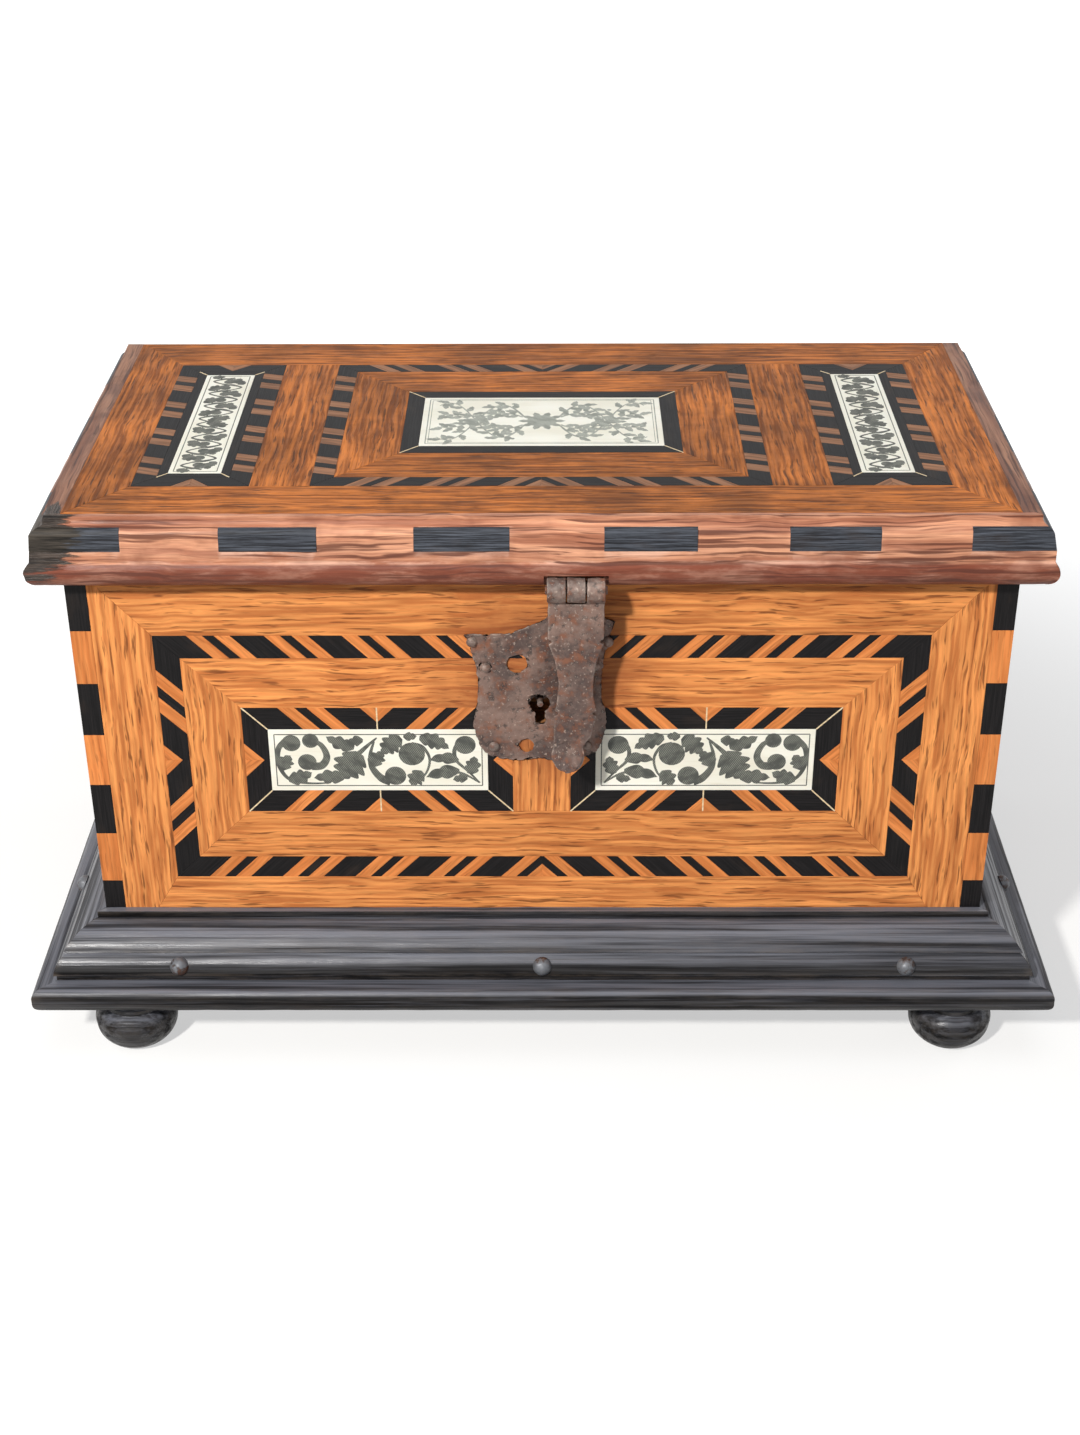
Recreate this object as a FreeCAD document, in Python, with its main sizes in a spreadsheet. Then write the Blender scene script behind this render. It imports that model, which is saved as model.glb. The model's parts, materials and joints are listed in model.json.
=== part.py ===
import FreeCAD, Part
import math
import os
import re

import Sketcher
from FreeCAD import Placement, Rotation, Vector

# A small inlaid casket. X runs along the front, the front faces -Y, Z is up, and the origin lies on the floor
# below the middle of the case. Lengths are millimetres, angles are degrees.

# Driving dimensions
SIZES = {
    # Case
    "case_width": 330,
    "case_depth": 165,
    "visible_height": 138.7,
    "board_thickness": 12,
    "veneer": 2,
    "bottom_thickness": 8,
    "corner_block": 7.5,
    "corner_course_count": 7,
    "corner_sunk": 8.9,
    # Plinth and base moulding, from the case outwards and from the top down
    "base_fillet_width": 2.8,
    "base_fillet_height": 2.6,
    "base_step": 1.4,
    "upper_round_width": 10.4,
    "upper_round_height": 8,
    "upper_round_bulge": 0.2,
    "groove_height": 1.2,
    "groove_depth": 0.8,
    "lower_round_width": 3.9,
    "lower_round_height": 6.8,
    "lower_round_bulge": 0.2,
    "quirk_height": 2.4,
    "quirk_depth": 1,
    "saw_margin": 4,
    "plinth_ledge": 3.5,
    "plinth_nose": 4,
    "plinth_thickness": 10,
    "plinth_top_round": 3.2,
    "plinth_bottom_round": 4.5,
    "base_nail_radius": 3.5,
    "base_nail_dome": 2.8,
    "base_nail_shank": 1.2,
    "base_nail_length": 9,
    "base_nail_inset": 29,
    "base_end_nail_inset": 37.5,
    # Feet
    "foot_height": 23,
    "foot_diameter": 31,
    "foot_sole": 19,
    "foot_belly": 8.4,
    "foot_bun_height": 16.4,
    "foot_ring": 23,
    "foot_ring_height": 1.5,
    "foot_lower_bulge": 0.3,
    "foot_upper_bulge": 0.36,
    "foot_neck_bulge": 0.5,
    "foot_tenon": 12,
    "foot_tenon_length": 7,
    "foot_inset_side": 34.5,
    "foot_inset_front": 19,
    # Lid moulding, from the underside up
    "lid_side_lap": 2.4,
    "lid_board_front": 2,
    "torus_radius": 5.5,
    "torus_turn": 47,
    "lid_strip_height": 4.2,
    "slope_height": 5.1,
    "slope_width": 1,
    "bead_height": 2.6,
    "bead_width": 2.1,
    "bead_bulge": 0.3,
    "cove_height": 2,
    "cove_width": 1.8,
    "cove_bulge": 0.25,
    "lid_fillet_height": 1.4,
    "lid_edge_overhang": 4,
    "lid_block_depth": 2.4,
    "front_segments": 11,
    "front_drift": 5.5,
    "side_segments": 5,
    # Inlay of the case's faces
    "border_side": 21,
    "border_top": 22.9,
    "border_bottom": 14,
    "band_width": 9,
    "field_width": 20,
    "stile_width": 21,
    "stripe_ebony": 12.3,
    "stripe_wood": 5.8,
    "stripe_thin": 4.2,
    # Inlay of the lid
    "lid_border_front": 23,
    "lid_border_back": 24.5,
    "lid_border_side": 19.8,
    "lid_side_panel": 41.2,
    "lid_cross_rail": 21.1,
    "lid_band_width": 7.8,
    "lid_stripe_rake": 2.4,
    "lid_field_width": 21.7,
    "lid_centre_fillet": 6.4,
    "lid_side_fillet": 3.4,
    # Iron nails
    "nail_radius": 2,
    "nail_dome": 1.2,
    "nail_shank": 0.9,
    "nail_length": 9,
    "nail_play": 0.05,
    # Rear hinges
    "hinge_end_inset": 63,
    "hinge_barrel_radius": 4,
    "hinge_barrel_length": 24,
    "hinge_pin_radius": 1.6,
    "hinge_pin_overlength": 0.8,
    "hinge_standoff": 4.3,
    "hinge_drop": 1.2,
    "hinge_leaf_width": 20,
    "hinge_leaf_thickness": 1.8,
    "hinge_case_leaf_length": 42,
    "hinge_lid_leaf_length": 60,
    "hinge_nail_first": 14,
    "hinge_nail_end": 4,
    "hinge_lid_nail_first": 22,
    "hinge_lid_nail_end": 14,
    "pin_play": 0.05,
    "knuckle_gap": 0.3,
    "barrel_play": 0.4,
    "recess_play": 0.1,
    # Hasp
    "hasp_x": 12,
    "hasp_standoff": 12,
    "hasp_rise": 0.75,
    "hasp_barrel_radius": 4.4,
    "hasp_barrel_length": 20,
    "hasp_pin_radius": 1.5,
    "hasp_pin_overlength": 0.6,
    "hasp_leaf_width": 18,
    "hasp_leaf_thickness": 1.5,
    "hasp_leaf_length": 34,
    "hasp_nail_first": 20,
    "hasp_nail_pitch": 9,
    "strap_width": 19.6,
    "strap_lower_width": 15,
    "strap_waist_bulge": 0.17,
    "strap_thickness": 2,
    "strap_nick": 1.8,
    "strap_upper_nick": 18.6,
    "strap_lower_nick": 47,
    "strap_shoulder": 57,
    "strap_neck_width": 10.6,
    "strap_reach": 70,
    "strap_tip_radius": 6,
    "strap_tip_shift": -2.6,
    "curl_start": 54,
    "curl_radius": 35,
    "curl_turn": 30,
    "staple_width": 3,
    "staple_length": 9.3,
    "staple_leg": 1.8,
    "staple_bar": 1.5,
    "staple_play": 0.7,
    "staple_drop": 1.8,
    # Lock
    "lock_x": -0.5,
    "plate_thickness": 1.2,
    "plate_top_width": 54,
    "plate_crest_left": 11.5,
    "plate_crest_right": 4,
    "plate_waist_width": 45,
    "plate_foot_width": 39.6,
    "plate_peak": 7.6,
    "plate_right_rise": 5,
    "plate_above_key": 28.4,
    "plate_waist_lift": 1.3,
    "plate_below_key": 20.5,
    "plate_bottom_scallop": 2,
    "plate_crest_bulge": 0.06,
    "plate_top_bulge": 0.12,
    "plate_side_bulge": 0.12,
    "plate_foot_bulge": 0.25,
    "plate_hem_bulge": 0.2,
    "lock_nail_inset": 3.2,
    "lock_nail_lift": 15,
    "upper_hole_radius": 3.2,
    "upper_hole_shift": 8.1,
    "upper_hole_lift": 16.4,
    "lower_hole_radius": 2.4,
    "lower_hole_shift": 5,
    "lower_hole_drop": 17,
    "keyhole_radius": 3.2,
    "keyhole_slot": 3,
    "keyhole_length": 7.2,
    "keyhole_drop": 6.5,
    "key_sweep": 9,
    "drill_pin_radius": 1.1,
    "drill_pin_proud": 0.6,
    "drill_pin_flange": 3.5,
    "drill_pin_flange_thickness": 1.2,
    "slot_play": 0.6,
    "slot_rise": 2.2,
    "bolt_drop": 44.4,
    "bolt_height": 4,
    "bolt_thickness": 2.6,
    "bolt_length": 28,
    "bolt_throw": 7,
    "bolt_setback": 0.35,
    "bolt_tip_gap": 1.2,
    "bolt_notch": 6,
    "bolt_notch_depth": 1.2,
    "guide_width": 3,
    "guide_wall": 1.3,
    "guide_play": 0.15,
    "guide_inset": 3,
    "spring_gap": 0.1,
    "spring_thickness": 0.7,
    "spring_depth": 2.2,
    "spring_bulge": 0.28,
    "spring_end_gap": 0.6,
    "mortise_depth": 10,
    "mortise_margin": 1.5,
    "mortise_headroom": 4,
}

doc = FreeCAD.newDocument("casket")
sheet = doc.addObject("Spreadsheet::Sheet", "sizes")
for row, (alias, value) in enumerate(SIZES.items(), start=1):
    sheet.set(f"A{row}", alias)
    sheet.set(f"B{row}", str(value))
    sheet.setAlias(f"B{row}", alias)
doc.recompute()

nodes = []


def number(expression):
    """The value of an expression of the sheet's sizes."""
    return float(sheet.evalExpression(expression))


def bound(expression):
    """The same expression as other objects have to write it, with the sheet's name before each size."""
    return re.sub(r"[a-z_]\w*", lambda m: f"sizes.{m[0]}" if m[0] in SIZES else m[0], expression)


def node(thing, label):
    """Count an object as one of the casket's named pieces."""
    thing.Label = label
    nodes.append(thing)
    return thing


# Levels and reaches worked out from the driving dimensions
HALF_WIDTH = "(case_width / 2)"
HALF_DEPTH = "(case_depth / 2)"
PLINTH_TOP = "(foot_height + plinth_thickness)"
LOWER_ROUND_TOP = "(quirk_height + lower_round_height)"
STEP_HEIGHT = f"({LOWER_ROUND_TOP} + groove_height + upper_round_height)"
BASE_HEIGHT = f"({STEP_HEIGHT} + base_fillet_height)"
BASE_TOP = f"({PLINTH_TOP} + {BASE_HEIGHT})"
LID_BOTTOM = f"({BASE_TOP} + visible_height)"
GROOVE_REACH = "(base_fillet_width + base_step + upper_round_width)"
BASE_REACH = f"({GROOVE_REACH} + lower_round_width)"
PLINTH_REACH = f"({BASE_REACH} + plinth_ledge + plinth_nose)"
TORUS_RISE = "(torus_radius * (1 + sin(torus_turn)))"
STRIP_TOP = f"({TORUS_RISE} + lid_strip_height)"
BEAD_TOP = f"({STRIP_TOP} + slope_height + bead_height)"
LID_THICKNESS = f"({BEAD_TOP} + cove_height + lid_fillet_height)"
COVE_REACH = "(lid_edge_overhang + cove_width)"
STRIP_REACH = f"({COVE_REACH} + bead_width + slope_width)"
TORUS_CENTRE = f"({STRIP_REACH} - torus_radius * cos(torus_turn))"
LID_REACH = f"({TORUS_CENTRE} + torus_radius)"
LID_TOP = f"({LID_BOTTOM} + {LID_THICKNESS})"
WALL = "(board_thickness + veneer)"
CORE_WIDTH = f"({HALF_WIDTH} - corner_block)"
CORE_DEPTH = f"({HALF_DEPTH} - corner_block)"
INNER_WIDTH = f"({HALF_WIDTH} - {WALL})"
INNER_DEPTH = f"({HALF_DEPTH} - {WALL})"
HINGE_Y = f"({HALF_DEPTH} + hinge_standoff)"
HINGE_Z = f"({LID_BOTTOM} - hinge_drop)"
HASP_Y = f"(-{HALF_DEPTH} - hasp_standoff)"
HASP_Z = f"({LID_BOTTOM} + hasp_rise)"
BOLT_Z = f"({HASP_Z} - bolt_drop)"
KEY_Z = f"({BOLT_Z} - keyhole_drop)"
PLATE_SHOULDER = f"({KEY_Z} + plate_above_key)"
PLATE_FOOT = f"({KEY_Z} - plate_below_key)"
BOLT_TIP = "(hasp_x - staple_width / 2 - bolt_tip_gap)"
BOLT_TAIL = f"({BOLT_TIP} - bolt_length)"
BOLT_BACK = "(bolt_setback + bolt_thickness)"
UPRIGHT = Rotation(Vector(1, 0, 0), 90)
VERTICAL = Vector(0, 0, 1)


# Building blocks: primitives, sketches and features bound to the sheet
def place(thing, x="0", y="0", z="0", rotation=Rotation()):
    """Put an object at a place that is bound to the sheet."""
    thing.Placement = Placement(Vector(), rotation)
    for axis, expression in zip("xyz", (x, y, z)):
        thing.setExpression(f"Placement.Base.{axis}", bound(expression))
    return thing


def block(name, low, high):
    """A box between two corners."""
    box = doc.addObject("Part::Box", name)
    for side, start, end in zip(("Length", "Width", "Height"), low, high):
        box.setExpression(side, bound(f"({end}) - ({start})"))
    return place(box, *low)


def rod(name, radius, length, start, rotation=Rotation()):
    """A cylinder from a start point, along Z before it is rotated."""
    cylinder = doc.addObject("Part::Cylinder", name)
    cylinder.setExpression("Radius", bound(radius))
    cylinder.setExpression("Height", bound(length))
    return place(cylinder, *start, rotation)


def rod_along_x(name, radius, x_start, x_end, y, z):
    return rod(name, radius, f"({x_end}) - ({x_start})", (x_start, y, z), Rotation(Vector(0, 1, 0), 90))


def cut(name, base, *tools):
    """A base with each tool taken away in turn."""
    for step, tool in enumerate(tools, start=1):
        result = doc.addObject("Part::Cut", name if step == len(tools) else f"{name}_stage_{step}")
        result.Base = base
        result.Tool = tool
        base = result
    return base


def fuse(name, *shapes):
    result = doc.addObject("Part::MultiFuse", name)
    result.Shapes = list(shapes)
    result.Refine = True
    return result


def common(name, base, tool):
    result = doc.addObject("Part::Common", name)
    result.Base = base
    result.Tool = tool
    return result


def group(name, *links):
    """Several separate solids as one piece."""
    result = doc.addObject("Part::Compound", name)
    result.Links = list(links)
    return result


def feature(name, shape, placement=Placement()):
    """A shape worked out by code."""
    thing = doc.addObject("Part::Feature", name)
    thing.Shape = shape
    thing.Placement = placement
    return thing


def new_body(name):
    return doc.addObject("PartDesign::Body", name)


def sketch_on(body, role):
    """A new sketch on one of the body's own origin planes."""
    planes = {plane.Role: plane for plane in body.Origin.OriginFeatures}
    sketch = body.newObject("Sketcher::SketchObject", f"{body.Name}_sketch")
    sketch.AttachmentSupport = [(planes[role], "")]
    sketch.MapMode = "FlatFace"
    return sketch


def dimension(sketch, constraint, expression):
    index = sketch.addConstraint(constraint)
    sketch.setExpression(f"Constraints[{index}]", bound(expression))


def arc_between(start, end, bulge):
    """The circular arc from start to end that turns anticlockwise through four times the bulge's angle."""
    chord = end - start
    side = Vector(-chord.y, chord.x, 0)
    centre = (start + end) / 2 + side * ((1 - bulge**2) / (4 * bulge))
    radius = chord.Length * (1 + bulge**2) / (4 * abs(bulge))
    first, last = (start, end) if bulge > 0 else (end, start)
    angles = [math.atan2(p.y - centre.y, p.x - centre.x) for p in (first, last)]
    return Part.ArcOfCircle(Part.Circle(centre, Vector(0, 0, 1), radius), *angles)


def outline(sketch, points):
    """A closed loop through points (u, v) or (u, v, bulge), every corner and radius bound to the sheet.

    A bulge makes the side after its point an arc. It is the tangent of a quarter of the angle that the arc
    turns through, and it is positive where the arc turns anticlockwise.
    """
    corners = [Vector(number(p[0]), number(p[1]), 0) for p in points]
    sides = []
    for here, (start, point) in enumerate(zip(corners, points)):
        there = (here + 1) % len(points)
        bulge = number(point[2]) if len(point) > 2 else 0
        end = corners[there]
        curve = arc_between(start, end, bulge) if bulge else Part.LineSegment(start, end)
        side = sketch.addGeometry(curve)
        sides.append((side, 2, 1) if bulge < 0 else (side, 1, 2))
        if bulge:
            (u0, v0), (u1, v1) = points[here][:2], points[there][:2]
            chord = f"sqrt((({u1}) - ({u0}))^2 + (({v1}) - ({v0}))^2)"
            ratio = f"(1 + ({point[2]})^2) / (4 * abs({point[2]}))"
            dimension(sketch, Sketcher.Constraint("Radius", side, curve.Radius), f"{chord} * {ratio}")
    for here, (side, start, end) in enumerate(sides):
        after, after_start, _ = sides[(here + 1) % len(sides)]
        sketch.addConstraint(Sketcher.Constraint("Coincident", side, end, after, after_start))
        for kind, place_on, value in zip(("DistanceX", "DistanceY"), points[here], corners[here]):
            dimension(sketch, Sketcher.Constraint(kind, -1, 1, side, start, value), place_on)


def hole(sketch, u, v, radius):
    """A circle in a sketch."""
    centre = Vector(number(u), number(v), 0)
    circle = sketch.addGeometry(Part.Circle(centre, Vector(0, 0, 1), number(radius)))
    dimension(sketch, Sketcher.Constraint("DistanceX", -1, 1, circle, 3, centre.x), u)
    dimension(sketch, Sketcher.Constraint("DistanceY", -1, 1, circle, 3, centre.y), v)
    dimension(sketch, Sketcher.Constraint("Radius", circle, number(radius)), radius)


def pad(body, sketch, length, symmetric=False, backwards=False):
    result = body.newObject("PartDesign::Pad", f"{body.Name}_pad")
    result.Profile = sketch
    result.setExpression("Length", bound(length))
    result.SideType = "Symmetric" if symmetric else "One side"
    result.Reversed = backwards
    return result


def pocket(body, sketch, length, symmetric=False, backwards=False):
    result = body.newObject("PartDesign::Pocket", f"{body.Name}_pocket")
    result.Profile = sketch
    result.setExpression("Length", bound(length))
    result.SideType = "Symmetric" if symmetric else "One side"
    result.Reversed = backwards
    return result


def nail(radius, dome, shank, length):
    """A dome-headed nail, its head on +Z and the underside of the head on Z = 0."""
    rim = Vector(radius, 0, 0)
    top = Vector(0, 0, dome)
    sphere = (radius**2 + dome**2) / (2 * dome)
    slope = math.asin(min(1, radius / sphere)) / 2
    shoulder = Vector(sphere * math.sin(slope), 0, dome - sphere * (1 - math.cos(slope)))
    corners = [rim, Vector(shank, 0, 0), Vector(shank, 0, -length), Vector(0, 0, -length), top]
    sides = [Part.makeLine(a, b) for a, b in zip(corners, corners[1:])]
    sides.append(Part.Arc(top, shoulder, rim).toShape())
    return Part.Face(Part.Wire(sides)).revolve(Vector(), VERTICAL, 360)


def iron_nail(at, direction):
    shape = nail(*(number(s) for s in ("nail_radius", "nail_dome", "nail_shank", "nail_length")))
    return shape.transformGeometry(Placement(at, Rotation(VERTICAL, direction)).Matrix)


def shank_hole(at, direction, radius, length):
    """What is drilled for a nail's shank."""
    return Part.makeCylinder(radius, length, at, -direction)


def nail_holes(spots, direction):
    radius = number("nail_shank + nail_play")
    return Part.makeCompound([shank_hole(at, direction, radius, number("nail_length")) for at in spots])


# Feet, plinth and base moulding
def foot(label, side, end):
    """A turned bun foot with a ring, a hollow neck and a tenon."""
    body = new_body(label)
    sketch = sketch_on(body, "XZ_Plane")
    ring_top = "(foot_bun_height + foot_ring_height)"
    outline(
        sketch,
        [
            ("0", "0"),
            ("foot_sole / 2", "0", "foot_lower_bulge"),
            ("foot_diameter / 2", "foot_belly", "foot_upper_bulge"),
            ("foot_ring / 2", "foot_bun_height"),
            ("foot_ring / 2", ring_top, "-foot_neck_bulge"),
            ("foot_ring / 2", "foot_height"),
            ("foot_tenon / 2", "foot_height"),
            ("foot_tenon / 2", "foot_height + foot_tenon_length"),
            ("0", "foot_height + foot_tenon_length"),
        ],
    )
    turning = body.newObject("PartDesign::Revolution", f"{label}_turning")
    turning.Profile = sketch
    turning.ReferenceAxis = (sketch, ["V_Axis"])
    turning.Angle = 360
    place(body, *foot_axis(side, end))
    return node(body, label)


def foot_axis(side, end):
    across = f"({HALF_WIDTH} + {PLINTH_REACH} - foot_inset_side)"
    along = f"({HALF_DEPTH} + {PLINTH_REACH} - foot_inset_front)"
    return f"{side} * {across}", f"{end} * {along}"


FEET = {
    "foot_front_left": (-1, -1),
    "foot_front_right": (1, -1),
    "foot_back_left": (-1, 1),
    "foot_back_right": (1, 1),
}
for label, corner in FEET.items():
    foot(label, *corner)


def plinth_board():
    """The board that carries the case, with a rounded lip and a socket for each foot's tenon."""
    body = new_body("plinth_board")
    sketch = sketch_on(body, "XY_Plane")
    half_x = f"({HALF_WIDTH} + {PLINTH_REACH})"
    half_y = f"({HALF_DEPTH} + {PLINTH_REACH})"
    outline(
        sketch,
        [(f"-{half_x}", f"-{half_y}"), (half_x, f"-{half_y}"), (half_x, half_y), (f"-{half_x}", half_y)],
    )
    base = pad(body, sketch, "plinth_thickness")
    for height, radius in (("plinth_thickness", "plinth_top_round"), ("0", "plinth_bottom_round")):
        doc.recompute()
        level = number(height)
        rim = [
            f"Edge{i}"
            for i, edge in enumerate(base.Shape.Edges, start=1)
            if abs(edge.BoundBox.ZMin - level) + abs(edge.BoundBox.ZMax - level) < 1e-6
        ]
        rounding = body.newObject("PartDesign::Fillet", "plinth_rounding")
        rounding.Base = (base, rim)
        rounding.setExpression("Radius", bound(radius))
        base = rounding
    sockets = sketch_on(body, "XY_Plane")
    for corner in FEET.values():
        hole(sockets, *foot_axis(*corner), "foot_tenon / 2 + pin_play")
    pocket(body, sockets, "foot_tenon_length", backwards=True)
    place(body, z="foot_height")
    return node(body, "plinth_board")


def moulding(name, profile, run, reach, lap, height, left_end, right_end, butt="0"):
    """A length of moulding along X, its seat on Y = 0 and its face towards -Y.

    Each end is cut either square or as a mitre. A mitre goes no deeper than the back of the moulding that it
    meets, which lies as far outside the seat as the butt says, and the rest of the end is square.
    """
    body = new_body(name)
    outline(sketch_on(body, "YZ_Plane"), profile)
    pad(body, body.Group[-1], f"{run} + 2 * ({reach})", symmetric=True)
    ends = sketch_on(body, "XY_Plane")
    front = f"(-({reach}) - saw_margin)"
    back = f"({lap} + saw_margin)"
    for side, finish in ((-1, left_end), (1, right_end)):
        outside = f"{side} * ({run} / 2 + {reach} + saw_margin)"
        if finish == "mitre":
            near = f"{side} * ({run} / 2 + {butt})"
            corners = [(near, back), (near, f"-({butt})"), (outside, front), (outside, back)]
        else:
            near = f"{side} * {run} / 2"
            corners = [(near, back), (near, front), (outside, front), (outside, back)]
        outline(ends, corners)
    pocket(body, ends, f"3 * {height}", symmetric=True)
    return body


BASE_PROFILE = [
    ("0", "0"),
    (f"-({BASE_REACH} - quirk_depth)", "0"),
    (f"-({BASE_REACH} - quirk_depth)", "quirk_height"),
    (f"-{BASE_REACH}", "quirk_height", "-lower_round_bulge"),
    (f"-{GROOVE_REACH}", LOWER_ROUND_TOP),
    (f"-({GROOVE_REACH} - groove_depth)", f"{LOWER_ROUND_TOP} + groove_height / 2"),
    (f"-{GROOVE_REACH}", f"{LOWER_ROUND_TOP} + groove_height", "-upper_round_bulge"),
    ("-(base_fillet_width + base_step)", STEP_HEIGHT),
    ("-base_fillet_width", STEP_HEIGHT),
    ("-base_fillet_width", BASE_HEIGHT),
    ("0", BASE_HEIGHT),
]

# Each side of the casket: its name, how far it turns about Z from the front, its run and where its face lies
SIDES = {
    "front": (0, "case_width", ("0", f"-{HALF_DEPTH}")),
    "right": (90, "case_depth", (HALF_WIDTH, "0")),
    "back": (180, "case_width", ("0", HALF_DEPTH)),
    "left": (-90, "case_depth", (f"-{HALF_WIDTH}", "0")),
}


def base_nail_spots(side):
    """Where the dome nails sit on the lower round of one side, and the way their heads point."""
    angle, run, seat = SIDES[side]
    lower = Vector(0, -number(BASE_REACH), number("quirk_height"))
    rise = number("lower_round_height")
    retreat = number("lower_round_width")
    chord = Vector(0, retreat, rise)
    outward = Vector(0, -rise, retreat).normalize()
    crown = lower + chord / 2 + outward * (chord.Length / 2 * number("lower_round_bulge"))
    if run == "case_width":
        reach = number(f"{HALF_WIDTH} - base_nail_inset")
        places = [-reach, 0, reach]
    else:
        reach = number(f"{HALF_DEPTH} - base_end_nail_inset")
        places = [-reach, reach]
    turn = Rotation(VERTICAL, angle)
    origin = Vector(number(seat[0]), number(seat[1]), number(PLINTH_TOP))
    return [origin + turn.multVec(Vector(x, 0, 0) + crown) for x in places], turn.multVec(outward)


def base():
    heads = []
    head = nail(*(number(f"base_nail_{s}") for s in ("radius", "dome", "shank", "length")))
    for side, (angle, run, seat) in SIDES.items():
        body = moulding(
            f"base_{side}_strip", BASE_PROFILE, run, BASE_REACH, "0", BASE_HEIGHT, "mitre", "mitre"
        )
        place(body, *seat, PLINTH_TOP, Rotation(VERTICAL, angle))
        spots, outward = base_nail_spots(side)
        radius = number("base_nail_shank + nail_play")
        length = number("base_nail_length")
        drilled = Part.makeCompound([shank_hole(at, outward, radius, length) for at in spots])
        holes = feature(f"base_{side}_nail_holes", drilled)
        node(cut(f"base_moulding_{side}", body, holes), f"base_moulding_{side}")
        tilt = Rotation(VERTICAL, outward)
        heads += [head.transformGeometry(Placement(at, tilt).Matrix) for at in spots]
    node(feature("base_nails", Part.makeCompound(heads)), "base_nails")


plinth_board()
base()


# Inlay, drawn in each face's own plane: u to the right, v up, thickness towards the viewer
def prisms(polygons):
    """One flat piece of veneer for each polygon."""
    depth = Vector(0, 0, number("veneer"))
    pieces = []
    for polygon in polygons:
        corners = [Vector(u, v, 0) for u, v in polygon]
        pieces.append(Part.Face(Part.makePolygon(corners + corners[:1])).extrude(depth))
    return Part.makeCompound(pieces)


def shrink(rect, left, bottom=None, right=None, top=None):
    """A rectangle (u0, v0, u1, v1) moved in by a margin on each side."""
    bottom, right, top = (left if side is None else side for side in (bottom, right, top))
    return rect[0] + left, rect[1] + bottom, rect[2] - right, rect[3] - top


def corners_of(rect):
    u0, v0, u1, v1 = rect
    return [(u0, v0), (u1, v0), (u1, v1), (u0, v1)]


def mitred(outer, inner):
    """Four pieces, mitred at the corners, between two rectangles."""
    around = list(zip(corners_of(outer), corners_of(inner)))
    following = around[1:] + around[:1]
    return [[a, b, d, c] for (a, c), (b, d) in zip(around, following)]


def stripe_repeat():
    """The widths of a band's stripes, in the order that repeats, and which of them are ebony."""
    ebony, wood, thin = (number(f"stripe_{kind}") for kind in ("ebony", "wood", "thin"))
    return [(ebony, True), (wood, False), (thin, True), (wood, False)]


def laid(run, length):
    """A run of stripes stretched to a length: where each begins and ends, and whether it is ebony."""
    stretch = length / sum(width for width, dark in run)
    result = []
    start = 0
    for width, dark in run:
        end = start + width * stretch
        result.append((start, end, dark))
        start = end
    return result


def half_side(length):
    """The stripes from a mitre to the middle of a side, where they end with wood."""
    repeat = stripe_repeat()
    count = int(length // sum(width for width, dark in repeat))
    runs = [repeat * count + repeat[:2], repeat * (count + 1), repeat * (count + 1) + repeat[:2]]
    if count:
        runs.append(repeat * count)
    nearest = min(runs, key=lambda run: abs(math.log(sum(width for width, dark in run) / length)))
    return laid(nearest, length)


def whole_side(length):
    """The stripes from one end of a side to the other, with ebony at both ends."""
    repeat = stripe_repeat()
    count = round((length - repeat[0][0]) / sum(width for width, dark in repeat))
    return laid(repeat * max(count, 1) + repeat[:1], length)


def clip(polygon, room):
    """The part of a polygon in which a linear measure of its points isn't below 0."""
    kept = []
    for here, there in zip(polygon, polygon[1:] + polygon[:1]):
        before, after = room(here), room(there)
        if before >= 0:
            kept.append(here)
        if before * after < 0:
            share = before / (before - after)
            kept.append(tuple(a + share * (b - a) for a, b in zip(here, there)))
    return kept


def slanted_side(length, width):
    """Half a side of a band: stripes at the mitre's angle, cut off upright in the side's middle."""
    for start, end, dark in half_side(length):
        stripe = [(start, 0), (end, 0), (end + width, width), (start + width, width)]
        yield clip(stripe, lambda at: length - at[0]), dark


def raked_side(length, width, lean):
    """A whole side of a band: stripes that lean a little, cut off by the mitres at its ends."""
    for start, end, dark in whole_side(length):
        stripe = [(start, 0), (end, 0), (end + lean, width), (start + lean, width)]
        stripe = clip(stripe, lambda at: at[0] - at[1])
        yield clip(stripe, lambda at: length - at[0] - at[1]), dark


def hatched(rect, width, rake=None):
    """A hatched band round the inside of a rectangle: its ebony pieces and its wood pieces.

    The stripes slant away from each corner. With a rake, those of the upright sides lean by it all one way.
    """
    u0, v0, u1, v1 = rect
    pieces = {True: [], False: []}
    for u, v, to_u, to_v in ((u0, v0, 1, 1), (u1, v0, -1, 1), (u1, v1, -1, -1), (u0, v1, 1, -1)):
        for stripe, dark in slanted_side((u1 - u0) / 2, width):
            pieces[dark].append([(u + to_u * s, v + to_v * t) for s, t in stripe])
        if rake is None:
            for stripe, dark in slanted_side((v1 - v0) / 2, width):
                pieces[dark].append([(u + to_u * t, v + to_v * s) for s, t in stripe])
    if rake is not None:
        for u, to_u in ((u0, 1), (u1, -1)):
            for stripe, dark in raked_side(v1 - v0, width, -to_u * rake):
                pieces[dark].append([(u + to_u * t, v0 + s) for s, t in stripe])
    return pieces[True], pieces[False]


def face_placement(side):
    """From a face's own plane to its place on the case, seated on the boards."""
    angle, run, seat = SIDES[side]
    turn = Rotation(VERTICAL, angle)
    origin = Vector(number(seat[0]), number(seat[1]), number(BASE_TOP))
    inwards = turn.multVec(Vector(0, number("veneer"), 0))
    return Placement(origin + inwards, turn * UPRIGHT)


def face_rect(half_run):
    """The veneered rectangle of one side, from the plinth up to the lid, with v = 0 at the base's top."""
    return -half_run, -number(BASE_HEIGHT), half_run, number("visible_height")


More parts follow.
